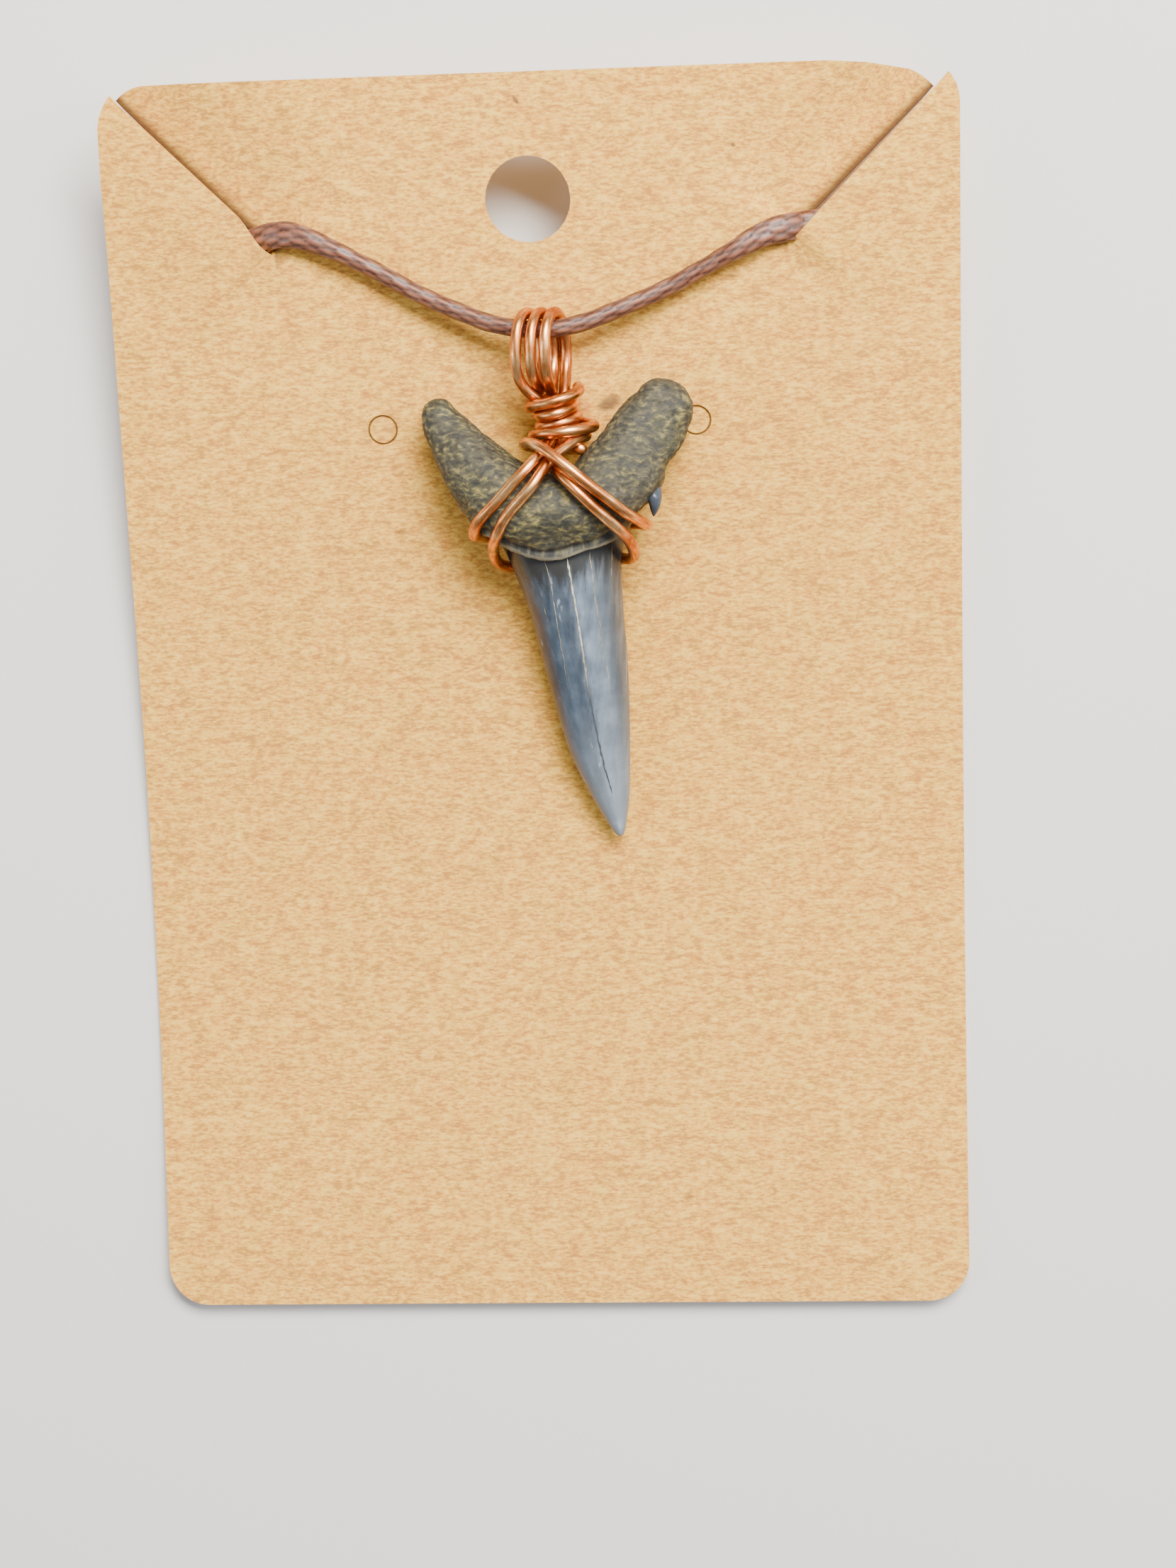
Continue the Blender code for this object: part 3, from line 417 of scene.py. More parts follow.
def pushed_open(x, s):
    """Where the cord in the slits moves a point of the flat card to, and how far out of its face."""
    across = abs(x) - SLIT_END[0]
    up = s - SLIT_END[1]
    along = (across + up) * SIN_45
    beside = (up - across) * SIN_45
    if along <= 0.0:
        return x, s, 0.0
    opened = smoothstep(along / SLIT_OPENS_OVER) * (1.0 - smoothstep(abs(beside) / SLIT_SHAPES_OVER))
    if beside <= 0.0:
        covers = smoothstep((along - SLIT_OPENS_OVER) / FLAP_COVERS_OVER)
        covers *= 1.0 - smoothstep(-beside / FLAP_COVERS_OVER)
        covers *= RIGHT_FLAP_COVERS if x > 0.0 else LEFT_FLAP_COVERS
        back, aside, out = 0.0, covers, FLAP_LIFT * opened
    else:
        curled = (along / SLIT_LENGTH) ** 1.5 * (1.0 - smoothstep(beside / TONGUE_CURLS_OVER))
        drop, drawn_back, drawn_off = RIGHT_TONGUE_CURL if x > 0.0 else LEFT_TONGUE_CURL
        back, aside, out = drawn_back * curled, drawn_off * curled, -TONGUE_DROP * opened - drop * curled
    x -= math.copysign((back + aside) * SIN_45, x)
    return x, s + (aside - back) * SIN_45, out


def right_half_outline():
    """From the bottom corner round to the tongue's corner, with the slit's two edges."""
    half, top, r = CARD_WIDTH / 2, CARD_LENGTH, CORNER_RADIUS
    end_x, end_s = SLIT_END
    kerf = SLIT_KERF / 2 * SIN_45
    stations = np.arange(0.4, 10.7, 0.4)
    points = [(x, 0.0) for x in np.arange(3.0, half - r, 3.0)]
    points += arc((half - r, r), r, -90, 0, 14)
    points += [(half, s) for s in np.arange(6.0, top - r - 1.0, 3.0)]
    points += arc((half - r, top - r), r, 0, 36, 9)
    points.append(FLAP_TIP)
    points += [(end_x + along + kerf, end_s + along - kerf) for along in stations[::-1]]
    points.append((end_x, end_s))
    points += [(end_x + along - kerf, end_s + along + kerf) for along in stations]
    points += arc((half - r, top - r), r, 44, 90, 10)
    return points + [(x, top) for x in np.arange(24.0, 0.5, -3.0)]


def card_points():
    """The flat card's points: its rims, the scored circles, and a grid that is finer at the slits."""
    right = right_half_outline()
    outline = [(0.0, 0.0)] + right + [(0.0, CARD_LENGTH)] + [(-x, s) for x, s in reversed(right)]
    hole = arc(HANG_HOLE, HANG_HOLE_RADIUS, 0, 360, 73)[:-1]
    inside = []
    for centre in SCORED_CIRCLES:
        for radius in (-SCORE_HALF_WIDTH, 0.0, SCORE_HALF_WIDTH):
            inside += arc(centre, SCORED_RADIUS + radius, 0, 360, 49)[:-1]
    for side in (-1, 1):
        for beside in FINE_BESIDE_SLIT:
            for along in np.arange(0.0, 16.0, FINE_ALONG_SLIT):
                for across in (-beside, beside):
                    x = SLIT_END[0] + (along - across) * SIN_45
                    s = SLIT_END[1] + (along + across) * SIN_45
                    if x < CARD_WIDTH / 2 - 0.5 and s < CARD_LENGTH - 0.5:
                        inside.append((side * x, s))
    for s in np.arange(CARD_POINT_SPACING, CARD_LENGTH - 1.0, CARD_POINT_SPACING):
        for x in np.arange(-CARD_WIDTH / 2 + 1.5, CARD_WIDTH / 2 - 1.0, CARD_POINT_SPACING):
            clear_of_hole = math.dist((x, s), HANG_HOLE) > HANG_HOLE_RADIUS + CLEAR_OF_RIM
            from_scores = min(math.dist((x, s), c) for c in SCORED_CIRCLES)
            clear_of_scores = from_scores > SCORED_RADIUS + CLEAR_OF_RIM
            across, up = abs(x) - SLIT_END[0], s - SLIT_END[1]
            clear_of_slit = across + up < -CLEAR_OF_SLIT_END or abs(up - across) * SIN_45 > CLEAR_OF_SLIT
            in_corner = abs(x) > BARE_CORNER_X and not BARE_CORNER_BELOW <= s <= BARE_CORNER_ABOVE
            in_corner = in_corner or abs(x) > BARE_TONGUE_X and s > BARE_TONGUE_ABOVE
            if clear_of_hole and clear_of_scores and clear_of_slit and not in_corner:
                inside.append((x, s))
    return outline, hole, inside


def cleaned(mesh):
    """The mesh without loose points, and with every face turned outward."""
    work = bmesh.new()
    work.from_mesh(mesh)
    bmesh.ops.delete(work, geom=[v for v in work.verts if not v.link_faces], context="VERTS")
    bmesh.ops.recalc_face_normals(work, faces=work.faces)
    work.to_mesh(mesh)
    work.free()


def card_sheet():
    """The board's two faces and its cut edge, bent to the curl and pushed open at the slits."""
    outline, hole, inside = card_points()
    rims = [[k, (k + 1) % len(outline)] for k in range(len(outline))]
    first = len(outline)
    rims += [[first + k, first + (k + 1) % len(hole)] for k in range(len(hole))]
    flat = [Vector(p) for p in outline + hole + inside]
    points, _, faces, _, _, _ = delaunay_2d_cdt(flat, rims, [list(range(first))], 1, 1e-5)
    in_hole = HANG_HOLE_RADIUS - 0.02
    kept = []
    for face in faces:
        middle = sum((points[k] for k in face), Vector((0.0, 0.0))) / len(face)
        if (middle - Vector(HANG_HOLE)).length > in_hole:
            kept.append(list(face))
    front, back, scored = [], [], []
    for p in points:
        x, s, out = pushed_open(p.x, p.y)
        from_score = min(abs(math.dist(p, c) - SCORED_RADIUS) for c in SCORED_CIRCLES)
        score = max(0.0, 1.0 - from_score / SCORE_HALF_WIDTH)
        front.append(on_card(x, s, out - SCORE_DEPTH * score))
        back.append(on_card(x, s, out - CARD_THICKNESS))
        # Each point's share of darkening: along the score rings, and painted shade above each slit
        across, up = abs(p.x) - SLIT_END[0], p.y - SLIT_END[1]
        beside = (up - across) * SIN_45
        slit_shade = np.interp(beside, SLIT_SHADE_BESIDE_CUT, SLIT_SHADE_SHARE) * (across + up > -0.01)
        scored.append(max(score, slit_shade))
    count = len(points)
    edges = {}
    for face in kept:
        for a, b in zip(face, face[1:] + face[:1]):
            edges[(a, b)] = True
    walls = [[b, a, a + count, b + count] for a, b in edges if (b, a) not in edges]
    faces = kept + [[k + count for k in reversed(face)] for face in kept] + walls
    made = add_mesh("kraft_card", front + back, faces)
    store(made, "scored", scored + [0.0] * count)
    cleaned(made.data)
    made.data.set_sharp_from_angle(angle=math.radians(40))
    return made


# Marks on the board, each as x, y of its middle, half its length and width, and its angle
MARKS = [((-0.55, 42.9), 0.34, 0.13, -1.0), ((14.4, 39.4), 0.16, 0.14, 0.0), ((5.2, 21.9), 0.9, 0.5, 0.4)]


def mark_share(add, place, middle, half_long, half_wide, angle):
    """How much of a small dark mark shows: full in its middle, and gone a little outside its edge."""
    flat = add(
        "Mapping", {"vector_type": "TEXTURE"}, Vector=place,
        Location=(middle[0] * MM, middle[1] * MM, 0.006),
        Rotation=(0.0, 0.0, angle), Scale=(half_long * MM, half_wide * MM, 0.02),
    )
    away = add("VectorMath", {"operation": "LENGTH"}, "Value", _0=flat)
    return add("MapRange", _0=away, _1=1.3, _2=0.6, _3=0.0, _4=0.75)


def kraft_board():
    """Unbleached pulp: matte tan, with short pale and dark fibres that lie mostly across the card."""
    # Fibres are 0.2 mm thick and 0.5 mm long, tufts 0.5 x 1.2 mm, clouds 1.4 mm and flecks 2 mm apart
    made, add, shader = new_material("Kraft board")
    place = add("TexCoord", out="Object")
    across = add("Mapping", Vector=place, Scale=(0.4, 1.0, 1.0))
    fibre = add("TexNoise", Vector=across, Scale=5200.0, Detail=3.0, Roughness=0.7)
    tuft = add("TexNoise", Vector=across, Scale=2000.0, Detail=4.0, Roughness=0.6)
    cloud = add("TexNoise", Vector=place, Scale=700.0, Detail=3.0)
    pulp = add("Math", {"operation": "MULTIPLY_ADD"}, _0=tuft, _1=0.6, _2=fibre)
    pulp = add("MapRange", _0=pulp, _1=0.62, _2=0.98)
    colour = add("ValToRGB", stops=[(0.1, "#be853d"), (0.5, "#e2a645"), (0.9, "#f3c25b")], Fac=pulp)
    warm = add("ValToRGB", stops=[(0.35, "#f4e2dc"), (0.5, "#ffffff"), (0.65, "#ecefe2")], Fac=cloud)
    colour = add("Mix", MULTIPLIED, 2, _0=0.5, _6=colour, _7=warm)
    fleck = add("TexVoronoi", {"feature": "F1"}, Vector=across, Scale=520.0, Randomness=1.0)
    fleck = fleck.node.outputs
    dark = add("MapRange", _0=fleck["Distance"], _1=0.05, _2=0.13, _3=0.6, _4=0.0)
    rare = add("Math", {"operation": "GREATER_THAN"}, _0=fleck["Color"], _1=0.8)
    speck = add("Math", {"operation": "MULTIPLY"}, _0=dark, _1=rare)
    colour = add("Mix", MIXED, 2, _0=speck, _6=colour, _7="#7a4a26")
    for mark in MARKS:
        colour = add("Mix", MIXED, 2, _0=mark_share(add, place, *mark), _6=colour, _7="#5b4535")
    # Darker along the score rings, and painted shade in a line along each slit and on the board just above it
    scored = add("Attribute", {"attribute_name": "scored"}, "Fac")
    colour = add("Mix", MIXED, 2, _0=scored, _6=colour, _7="#4a2e18")
    bump = add("Bump", Strength=0.3, Distance=0.00004, Height=pulp)
    set_inputs(shader, Base_Color=colour, Roughness=0.86, Specular_IOR_Level=0.25, Normal=bump)
    return made


card = card_sheet()
card.data.materials.append(kraft_board())
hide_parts("card")
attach(card, "root")

# Tooth
# An upper front tooth of a sand tiger shark, turned to stone: a glossy blue-grey enamel crown, and
# a root of porous brown dentine with two lobes. It grew in one piece with a side cusp at the right.
TOOTH_PLACE = (
    Matrix.Translation(Vector(on_card(0.0, 60.0))) @ Matrix.Rotation(math.radians(5.5), 4, "X")
)
# A row of a lobe is x, y, z of its middle, half its width, and its height in front and behind
LEFT_LOBE = [
    (-6.75, 6.75, 2.7, 1.15, 1.2, 1.2),
    (-6.38, 5.93, 2.85, 1.45, 1.6, 1.45),
    (-5.39, 4.56, 3.1, 1.93, 2.3, 1.7),
    (-4.52, 3.4, 3.3, 2.18, 2.8, 1.9),
    (-3.6, 2.3, 3.5, 2.45, 3.2, 2.1),
    (-2.08, 0.75, 3.7, 2.75, 3.5, 2.3),
    (-0.9, -0.1, 3.9, 2.5, 3.4, 2.4),
]
RIGHT_LOBE = [
    (9.15, 6.75, 3.0, 2.12, 1.8, 1.5),
    (8.3, 5.55, 3.1, 2.55, 2.3, 1.7),
    (7.32, 4.3, 3.3, 2.55, 2.8, 1.9),
    (6.4, 2.8, 3.5, 2.9, 3.2, 2.1),
    (5.35, 1.68, 3.7, 2.8, 3.5, 2.3),
    (4.2, 0.45, 3.9, 2.75, 3.5, 2.5),
]
# A row of the root's middle is y, x at its left and right, and z at its back and front
ROOT_MIDDLE = [
    (2.55, 0.0, 2.6, 3.2, 5.4),
    (2.2, -1.0, 3.8, 2.6, 6.3),
    (1.4, -2.9, 6.0, 1.9, 7.1),
    (0.4, -4.2, 7.4, 1.5, 7.55),
    (-0.5, -4.6, 7.05, 1.5, 7.5),
    (-1.3, -4.05, 6.45, 1.5, 7.1),
    (-1.9, -3.05, 5.85, 1.8, 6.75),
    (-2.4, -2.15, 5.1, 2.2, 6.45),
    (-2.9, -1.1, 3.55, 2.8, 6.2),
    (-3.2, 0.0, 2.2, 3.6, 5.9),
]
# A row of the crown is y, x at its left and right, and z of its edges, its front and its back
CROWN = [
    (0.9, -3.4, 7.3, 3.0, 4.6, 1.45),
    (-0.6, -3.4, 7.1, 2.95, 5.2, 1.3),
    (-2.0, -2.9, 6.35, 2.9, 5.6, 1.2),
    (-4.0, -1.98, 5.9, 2.8, 5.65, 1.15),
    (-7.6, -0.78, 5.9, 2.6, 5.2, 1.1),
    (-10.7, -0.12, 6.05, 2.4, 4.7, 1.05),
    (-14.1, 0.65, 6.08, 2.2, 4.15, 1.0),
    (-18.0, 1.67, 6.0, 2.0, 3.4, 0.95),
    (-21.1, 3.0, 5.85, 1.8, 2.75, 0.95),
    (-23.3, 4.15, 5.55, 1.6, 2.15, 1.05),
    (-24.1, 4.62, 5.36, 1.5, 1.8, 1.2),
    (-24.42, 4.95, 5.16, 1.45, 1.52, 1.36),
]
CROWN_FRONT_ROUNDING, CROWN_BACK_ROUNDING = 0.72, 0.85
# A row of a side cusp is x, y, z of its middle and its radius
RIGHT_CUSPLET = [
    (8.25, 1.7, 4.1, 0.62), (8.42, 0.95, 4.75, 0.55), (8.46, 0.3, 4.9, 0.41), (8.42, -0.2, 4.9, 0.24),
    (8.35, -0.55, 4.85, 0.06),
]
LEFT_CUSPLET = [
    (-5.2, 1.9, 2.7, 0.7), (-5.25, 0.9, 2.55, 0.62), (-4.95, -0.1, 2.4, 0.5), (-4.55, -0.95, 2.3, 0.1),
]
# The line on which the root ends over the enamel
BORDER_X = [-3.2, -2.1, -0.5, 0.4, 1.8, 3.1, 4.5, 5.9, 6.8]
BORDER_Y = [-1.6, -2.3, -3.05, -3.3, -3.2, -2.85, -2.5, -1.9, -1.4]
ROOT_VOXEL = 0.15
LUMP_HEIGHT, GRAIN_HEIGHT, PIT_DEPTH, FINE_HEIGHT = 0.16, 0.07, 0.09, 0.03
LUMPS_PER_MM, GRAINS_PER_MM, PITS_PER_MM, FINE_PER_MM = 0.55, 1.6, 3.4, 6.5
GRAIN_SWAYS, GRAIN_SQUEEZED, PITS_OVER = 2.0, 2.3, 0.12
LIP_HEIGHT, LIP_AT, LIP_WIDTH = 0.13, 0.12, 0.13
GROOVE_DEPTH, GROOVE_AT, GROOVE_WIDTH = 0.2, 0.52, 0.2
# Where a spot of painted shade lies, beside the right cusp
SOCKET_SHADE_AT = tuple(TOOTH_PLACE @ Vector((8.0, -0.15, 5.2)))[:2]


def on_tooth(points):
    """Points of the tooth's own frame, moved to where it lies on the card."""
    return np.array([tuple(TOOTH_PLACE @ Vector(p)) for p in points])


def squared(value, power):
    """A sine or cosine with its sign kept and its size raised to the power, for squarer rounds."""
    return math.copysign(abs(value) ** power, value)


def oval(half_width, front, back, sides, squareness=2.5):
    """Points round an oval, as width and height, whose front and back have their own heights."""
    out = []
    for angle in np.linspace(0.0, 2 * math.pi, sides, endpoint=False):
        c, s = math.cos(angle), math.sin(angle)
        height = squared(s, 2 / squareness) * (front if s > 0 else back)
        out.append((half_width * squared(c, 2 / squareness), height))
    return out


def lobe_rings(stations, steps, sides):
    """Ovals across the lobe's line, shrinking to a rounded tip before the first station."""
    rows = through(stations, steps)
    towards_tip = (rows[0] - rows[1])[:3]
    towards_tip /= np.linalg.norm(towards_tip)
    tip = []
    for scale in np.sin(np.linspace(0.08, 1.4, 12)):
        row = rows[0].copy()
        row[:3] += towards_tip * rows[0][3] * math.sqrt(1 - scale**2)
        row[3:] *= scale
        tip.append(row)
    rows = np.vstack([tip, rows])
    lines = np.gradient(rows[:, :2], axis=0)
    rings = []
    for row, line in zip(rows, lines):
        side = Vector((-line[1], line[0], 0.0)).normalized()
        middle = Vector(row[:3])
        rings.append([middle + side * w + Vector((0, 0, h)) for w, h in oval(*row[3:], sides)])
    return rings


def root_middle_rings(steps, sides):
    """Ovals across the root's middle, where its lobes meet."""
    rings = []
    for y, left, right, back, front in through(ROOT_MIDDLE, steps):
        x, z = (left + right) / 2, (back + front) / 2
        shape = oval((right - left) / 2, (front - back) / 2, (front - back) / 2, sides, 2.7)
        rings.append([Vector((x + w, y, z + h)) for w, h in shape])
    return rings


def cusplet_rings(stations, steps, sides):
    """Rounds along a side cusp, a little fuller in front."""
    rings = []
    for x, y, z, radius in through(stations, steps):
        shape = oval(radius, radius * 1.2, radius, sides, 2.0)
        rings.append([Vector((x + w, y, z + h)) for w, h in shape])
    return rings


def crown_rings(steps, sides):
    """Lens shapes with a sharp edge at each side, fuller to the front than to the back."""
    rings, across, down = [], [], []
    spread = -np.cos(np.linspace(0.0, math.pi, sides // 2 + 1))
    for y, left, right, edge, front, back in through(CROWN, steps):
        x, half = (left + right) / 2, (right - left) / 2
        ring = []
        for u in spread[:-1]:
            rise = max(0.0, 1 - abs(u) ** 2.1) ** CROWN_FRONT_ROUNDING
            ring.append(Vector((x + half * u, y, edge + (front - edge) * rise)))
        for u in spread[:0:-1]:
            rise = max(0.0, 1 - abs(u) ** 2.8) ** CROWN_BACK_ROUNDING
            ring.append(Vector((x + half * u, y, edge - (edge - back) * rise)))
        rings.append(ring)
        across += list(spread[:-1]) + list(spread[:0:-1])
        down += [y] * sides
    return rings, across, down


def loft(rings):
    """The points and faces of one closed skin through rings of equal point counts."""
    points = np.array([tuple(p) for ring in rings for p in ring])
    return points, tube_faces(len(rings), len(rings[0]))


def joined(parts):
    """Several skins as one list of points and one of faces."""
    points, faces, start = [], [], 0
    for part_points, part_faces in parts:
        points.append(part_points)
        faces += [[k + start for k in face] for face in part_faces]
        start += len(part_points)
    return np.vstack(points), faces


def as_one_skin(points, faces, voxel):
    """The outer surface of overlapping skins, as even small squares."""
    mesh = bpy.data.meshes.new("rough_skin")
    mesh.from_pydata(points.tolist(), [], faces)
    cleaned(mesh)
    rough = add_object("rough_skin", mesh)
    remesh = rough.modifiers.new("skin", "REMESH")
    remesh.mode = "VOXEL"
    remesh.voxel_size = voxel
    skin = rough.evaluated_get(bpy.context.evaluated_depsgraph_get()).to_mesh()
    out = np.array([tuple(v.co) for v in skin.vertices]), [list(p.vertices) for p in skin.polygons]
    bpy.data.objects.remove(rough, do_unlink=True)
    return out


def eased(points, faces, rounds, strength):
    """The points moved towards the middle of their neighbours, to melt the creases between lobes."""
    pairs = np.array([(a, b) for face in faces for a, b in zip(face, face[1:] + face[:1])])
    points = points.copy()
    count = np.bincount(pairs[:, 0], minlength=len(points))[:, None]
    for _ in range(rounds):
        total = np.stack([np.bincount(pairs[:, 0], points[pairs[:, 1], k], len(points)) for k in range(3)], 1)
        points += strength * (total / count - points)
    return points


def normals_of(points, faces):
    """The outward direction at each point."""
    out = np.zeros_like(points)
    quads = np.array([face if len(face) == 4 else face + face[-1:] for face in faces if len(face) <= 4])
    normal = np.cross(points[quads[:, 2]] - points[quads[:, 0]], points[quads[:, 3]] - points[quads[:, 1]])
    for k in range(4):
        np.add.at(out, quads[:, k], normal)
    return out / np.maximum(np.linalg.norm(out, axis=1), 1e-12)[:, None]


def root_surface():
    """The dentine: lumps, pits and a wavy grain, and a thin lip where it ends over the enamel."""
    points, faces = as_one_skin(
        *joined([
            loft(root_middle_rings(6, 72)),
            loft(lobe_rings(LEFT_LOBE, 6, 56)),
            loft(lobe_rings(RIGHT_LOBE, 6, 56)),
        ]),
        ROOT_VOXEL,
    )
    points = eased(points, faces, 8, 0.5)
    normals = normals_of(points, faces)
    border = points[:, 1] - np.interp(points[:, 0], BORDER_X, BORDER_Y)
    moved = np.zeros(len(points))
    for k, p in enumerate(points):
        at = Vector(p)
        lumps = noise.noise(at * LUMPS_PER_MM)
        swayed = at.x * GRAINS_PER_MM + GRAIN_SWAYS * lumps
        grain = noise.noise(Vector((swayed, at.y * GRAIN_SQUEEZED, at.z * GRAINS_PER_MM)))
        pits = max(0.0, noise.noise(at * PITS_PER_MM) - PITS_OVER)
        fine = noise.noise(at * FINE_PER_MM)
        moved[k] = LUMP_HEIGHT * lumps + GRAIN_HEIGHT * grain - PIT_DEPTH * pits + FINE_HEIGHT * fine
    in_front = smoothstep((points[:, 2] - 4.0) / 1.5)
    lip = LIP_HEIGHT * np.exp(-(((border - LIP_AT) / LIP_WIDTH) ** 2))
    groove = GROOVE_DEPTH * np.exp(-(((border - GROOVE_AT) / GROOVE_WIDTH) ** 2))
    moved += (lip - groove) * in_front
    return points, points + normals * moved[:, None], faces, border


def tooth_object():
    """Root, crown and side cusps in one object, with its enamel and its dentine."""
    smooth_root, root_points, root_faces, border = root_surface()
    rings, across, down = crown_rings(14, 112)
    crown_points, crown_faces = loft(rings)
    right_points, right_faces = loft(cusplet_rings(RIGHT_CUSPLET, 8, 28))
    left_points, left_faces = loft(cusplet_rings(LEFT_CUSPLET, 8, 28))
    points, faces = joined([
        (root_points, root_faces), (crown_points, crown_faces),
        (right_points, right_faces), (left_points, left_faces),
    ])
    smooth = np.vstack([smooth_root, points[len(smooth_root) :]])
    made = add_mesh("fossil_tooth", on_tooth(points), faces)
    cusps = len(right_points) + len(left_points)
    store(made, "over_border", np.concatenate([border, np.zeros(len(crown_points) + cusps)]))
    store(made, "across", np.concatenate([np.zeros(len(root_points)), across, np.full(cusps, -1.0)]))
    crown_down = np.array(down) - np.interp(crown_points[:, 0], BORDER_X, BORDER_Y)
    store(made, "down", np.concatenate([np.zeros(len(root_points)), -crown_down, np.full(cusps, 12.0)]))
    cleaned(made.data)
    materials = np.ones(len(made.data.polygons), np.int32)
    materials[: len(root_faces)] = 0
    made.data.polygons.foreach_set("material_index", materials)
    outward_faces = [tuple(p.vertices) for p in made.data.polygons]
    return made, BVHTree.FromPolygons([Vector(p) for p in smooth], outward_faces)


def fossil_dentine():
    """Porous stone that was dentine: olive grey, finely flecked with ochre and dark grey, and dull."""
    # Grain is 0.4 mm, pits 0.8 mm, patches of colour 3 mm, and the notches in its lip 0.5 mm
    made, add, shader = new_material("Fossil dentine")
    place = add("TexCoord", out="Object")
    swirl = add("TexNoise", out="Color", Vector=place, Scale=900.0, Detail=2.0)
    bent = add("Mix", {"data_type": "VECTOR"}, 1, _0=0.0008, _4=place, _5=swirl)
    stretched = add("Mapping", Vector=bent, Scale=(0.7, 1.3, 1.0), Rotation=(0, 0, 0.5))
    grain = add("TexNoise", Vector=stretched, Scale=2300.0, Detail=3.5, Roughness=0.55)
    patches = add("TexNoise", Vector=place, Scale=330.0, Detail=2.0)
    olive = [(0.33, "#252521"), (0.46, "#3c3a2a"), (0.56, "#544f34"), (0.68, "#877c45")]
    brown = [(0.33, "#282723"), (0.55, "#454134"), (0.72, "#6b6144")]
    olive, brown = (add("ValToRGB", stops=stops, Fac=grain) for stops in (olive, brown))
    share = add("MapRange", _0=patches, _1=0.38, _2=0.62, _3=0.8, _4=0.1)
    colour = add("Mix", MIXED, 2, _0=share, _6=olive, _7=brown)
    pit = add("TexNoise", Vector=place, Scale=1300.0, Detail=2.0)
    pit_share = add("MapRange", _0=pit, _1=0.36, _2=0.28, _3=0.0, _4=0.8)
    border = add("Attribute", {"attribute_name": "over_border"}, "Fac")
    notches = add("Mapping", Vector=place, Scale=(1.0, 0.3, 0.3))
    notched = add("TexNoise", Vector=notches, Scale=2200.0, Detail=3.0)
    band = add("ValToRGB", stops=[(0.4, "#2a2b2c"), (0.55, "#4d4b42"), (0.65, "#69644c")], Fac=notched)
    band_share = add("MapRange", _0=border, _1=0.95, _2=0.5, _3=0.0, _4=0.85)
    # A near-black spot beside the right cusp: painted shade of a hollow that the mesh doesn't have
    socket = mark_share(add, place, SOCKET_SHADE_AT, 0.34, 0.3, 0.3)
    lip_share = add("MapRange", _0=border, _1=0.26, _2=0.14, _3=0.0, _4=0.85)
    layers = (pit_share, "#2c2c2b"), (band_share, band), (socket, "#17130f"), (lip_share, "#8d8770")
    for share, over in layers:
        colour = add("Mix", MIXED, 2, _0=share, _6=colour, _7=over)
    rough = add("MapRange", _0=grain, _3=0.6, _4=0.82)
    bump = add("Bump", Strength=0.7, Distance=0.00006, Height=grain)
    set_inputs(shader, Base_Color=colour, Roughness=rough, Specular_IOR_Level=0.4, Normal=bump)
    return made


def fossil_enamel():
    """Mineralised enamel: hard and glassy, slate grey-blue and brown at its edges, with painted highlights
    and painted shade.
    """
    # Growth streaks, partly painted sheen, are 0.6 mm wide and ten times as long, and clouds 2 mm
    made, add, shader = new_material("Fossil enamel")
    place = add("TexCoord", out="Object")
    across = add("Attribute", {"attribute_name": "across"}, "Fac")
    down = add("Attribute", {"attribute_name": "down"}, "Fac")
    streaked = add("Mapping", Vector=place, Scale=(1.0, 0.1, 1.0))
    streak = add("TexNoise", Vector=streaked, Scale=1700.0, Detail=4.0, Roughness=0.6)
    wander = add("MapRange", _0=streak, _3=-0.12, _4=0.12)
    where = add("Math", {"operation": "ADD"}, _0=across, _1=wander)
    where = add("MapRange", _0=where, _1=-1.0, _2=1.0)
    # Across the crown the ramp paints light and shade: a painted highlight band right of the middle and
    # painted shade at the left edge
    body = add("ValToRGB", Fac=where, stops=[
        (0.0, "#38434f"), (0.14, "#425162"), (0.3, "#5a6876"), (0.46, "#535d69"),
        (0.6, "#808e9c"), (0.78, "#75818c"), (0.9, "#5f6365"), (1.0, "#726e67"),
    ])
    # The pale streaks and scratches are partly the enamel's growth streaks and partly painted sheen
    streaks = add("ValToRGB", stops=[(0.34, "#8c9096"), (0.62, "#ffffff")], Fac=streak)
    colour = add("Mix", MULTIPLIED, 2, _0=0.5, _6=body, _7=streaks)
    cloud = add("TexNoise", Vector=place, Scale=520.0, Detail=4.0)
    clouds = add("ValToRGB", stops=[(0.34, "#a4a8ad"), (0.66, "#ffffff")], Fac=cloud)
    colour = add("Mix", MULTIPLIED, 2, _0=0.6, _6=colour, _7=clouds)
    scratch = add("MapRange", _0=streak, _1=0.66, _2=0.74, _3=0.0, _4=0.6)
    ragged = add("MapRange", _0=streak, _1=0.3, _2=0.7, _3=-0.9, _4=0.9)
    under = add("Math", {"operation": "ADD"}, _0=down, _1=ragged)
    top_share = add("MapRange", _0=under, _1=2.9, _2=1.1, _3=0.0, _4=0.92)
    # Paler towards the tip: a painted highlight
    tip_highlight_share = add("MapRange", _0=down, _1=11.0, _2=20.0, _3=0.0, _4=0.4)
    for share, over in ((scratch, "#b9c1c8"), (top_share, "#302f2c"), (tip_highlight_share, "#9fa9b1")):
        colour = add("Mix", MIXED, 2, _0=share, _6=colour, _7=over)
    rough = add("MapRange", _0=cloud, _3=0.2, _4=0.34)
    set_inputs(shader, Base_Color=colour, Roughness=rough, IOR=1.5, Specular_IOR_Level=0.3)
    return made


tooth, over_tooth = tooth_object()
tooth.data.materials.append(fossil_dentine())
tooth.data.materials.append(fossil_enamel())
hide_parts("tooth")
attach(tooth, "root")

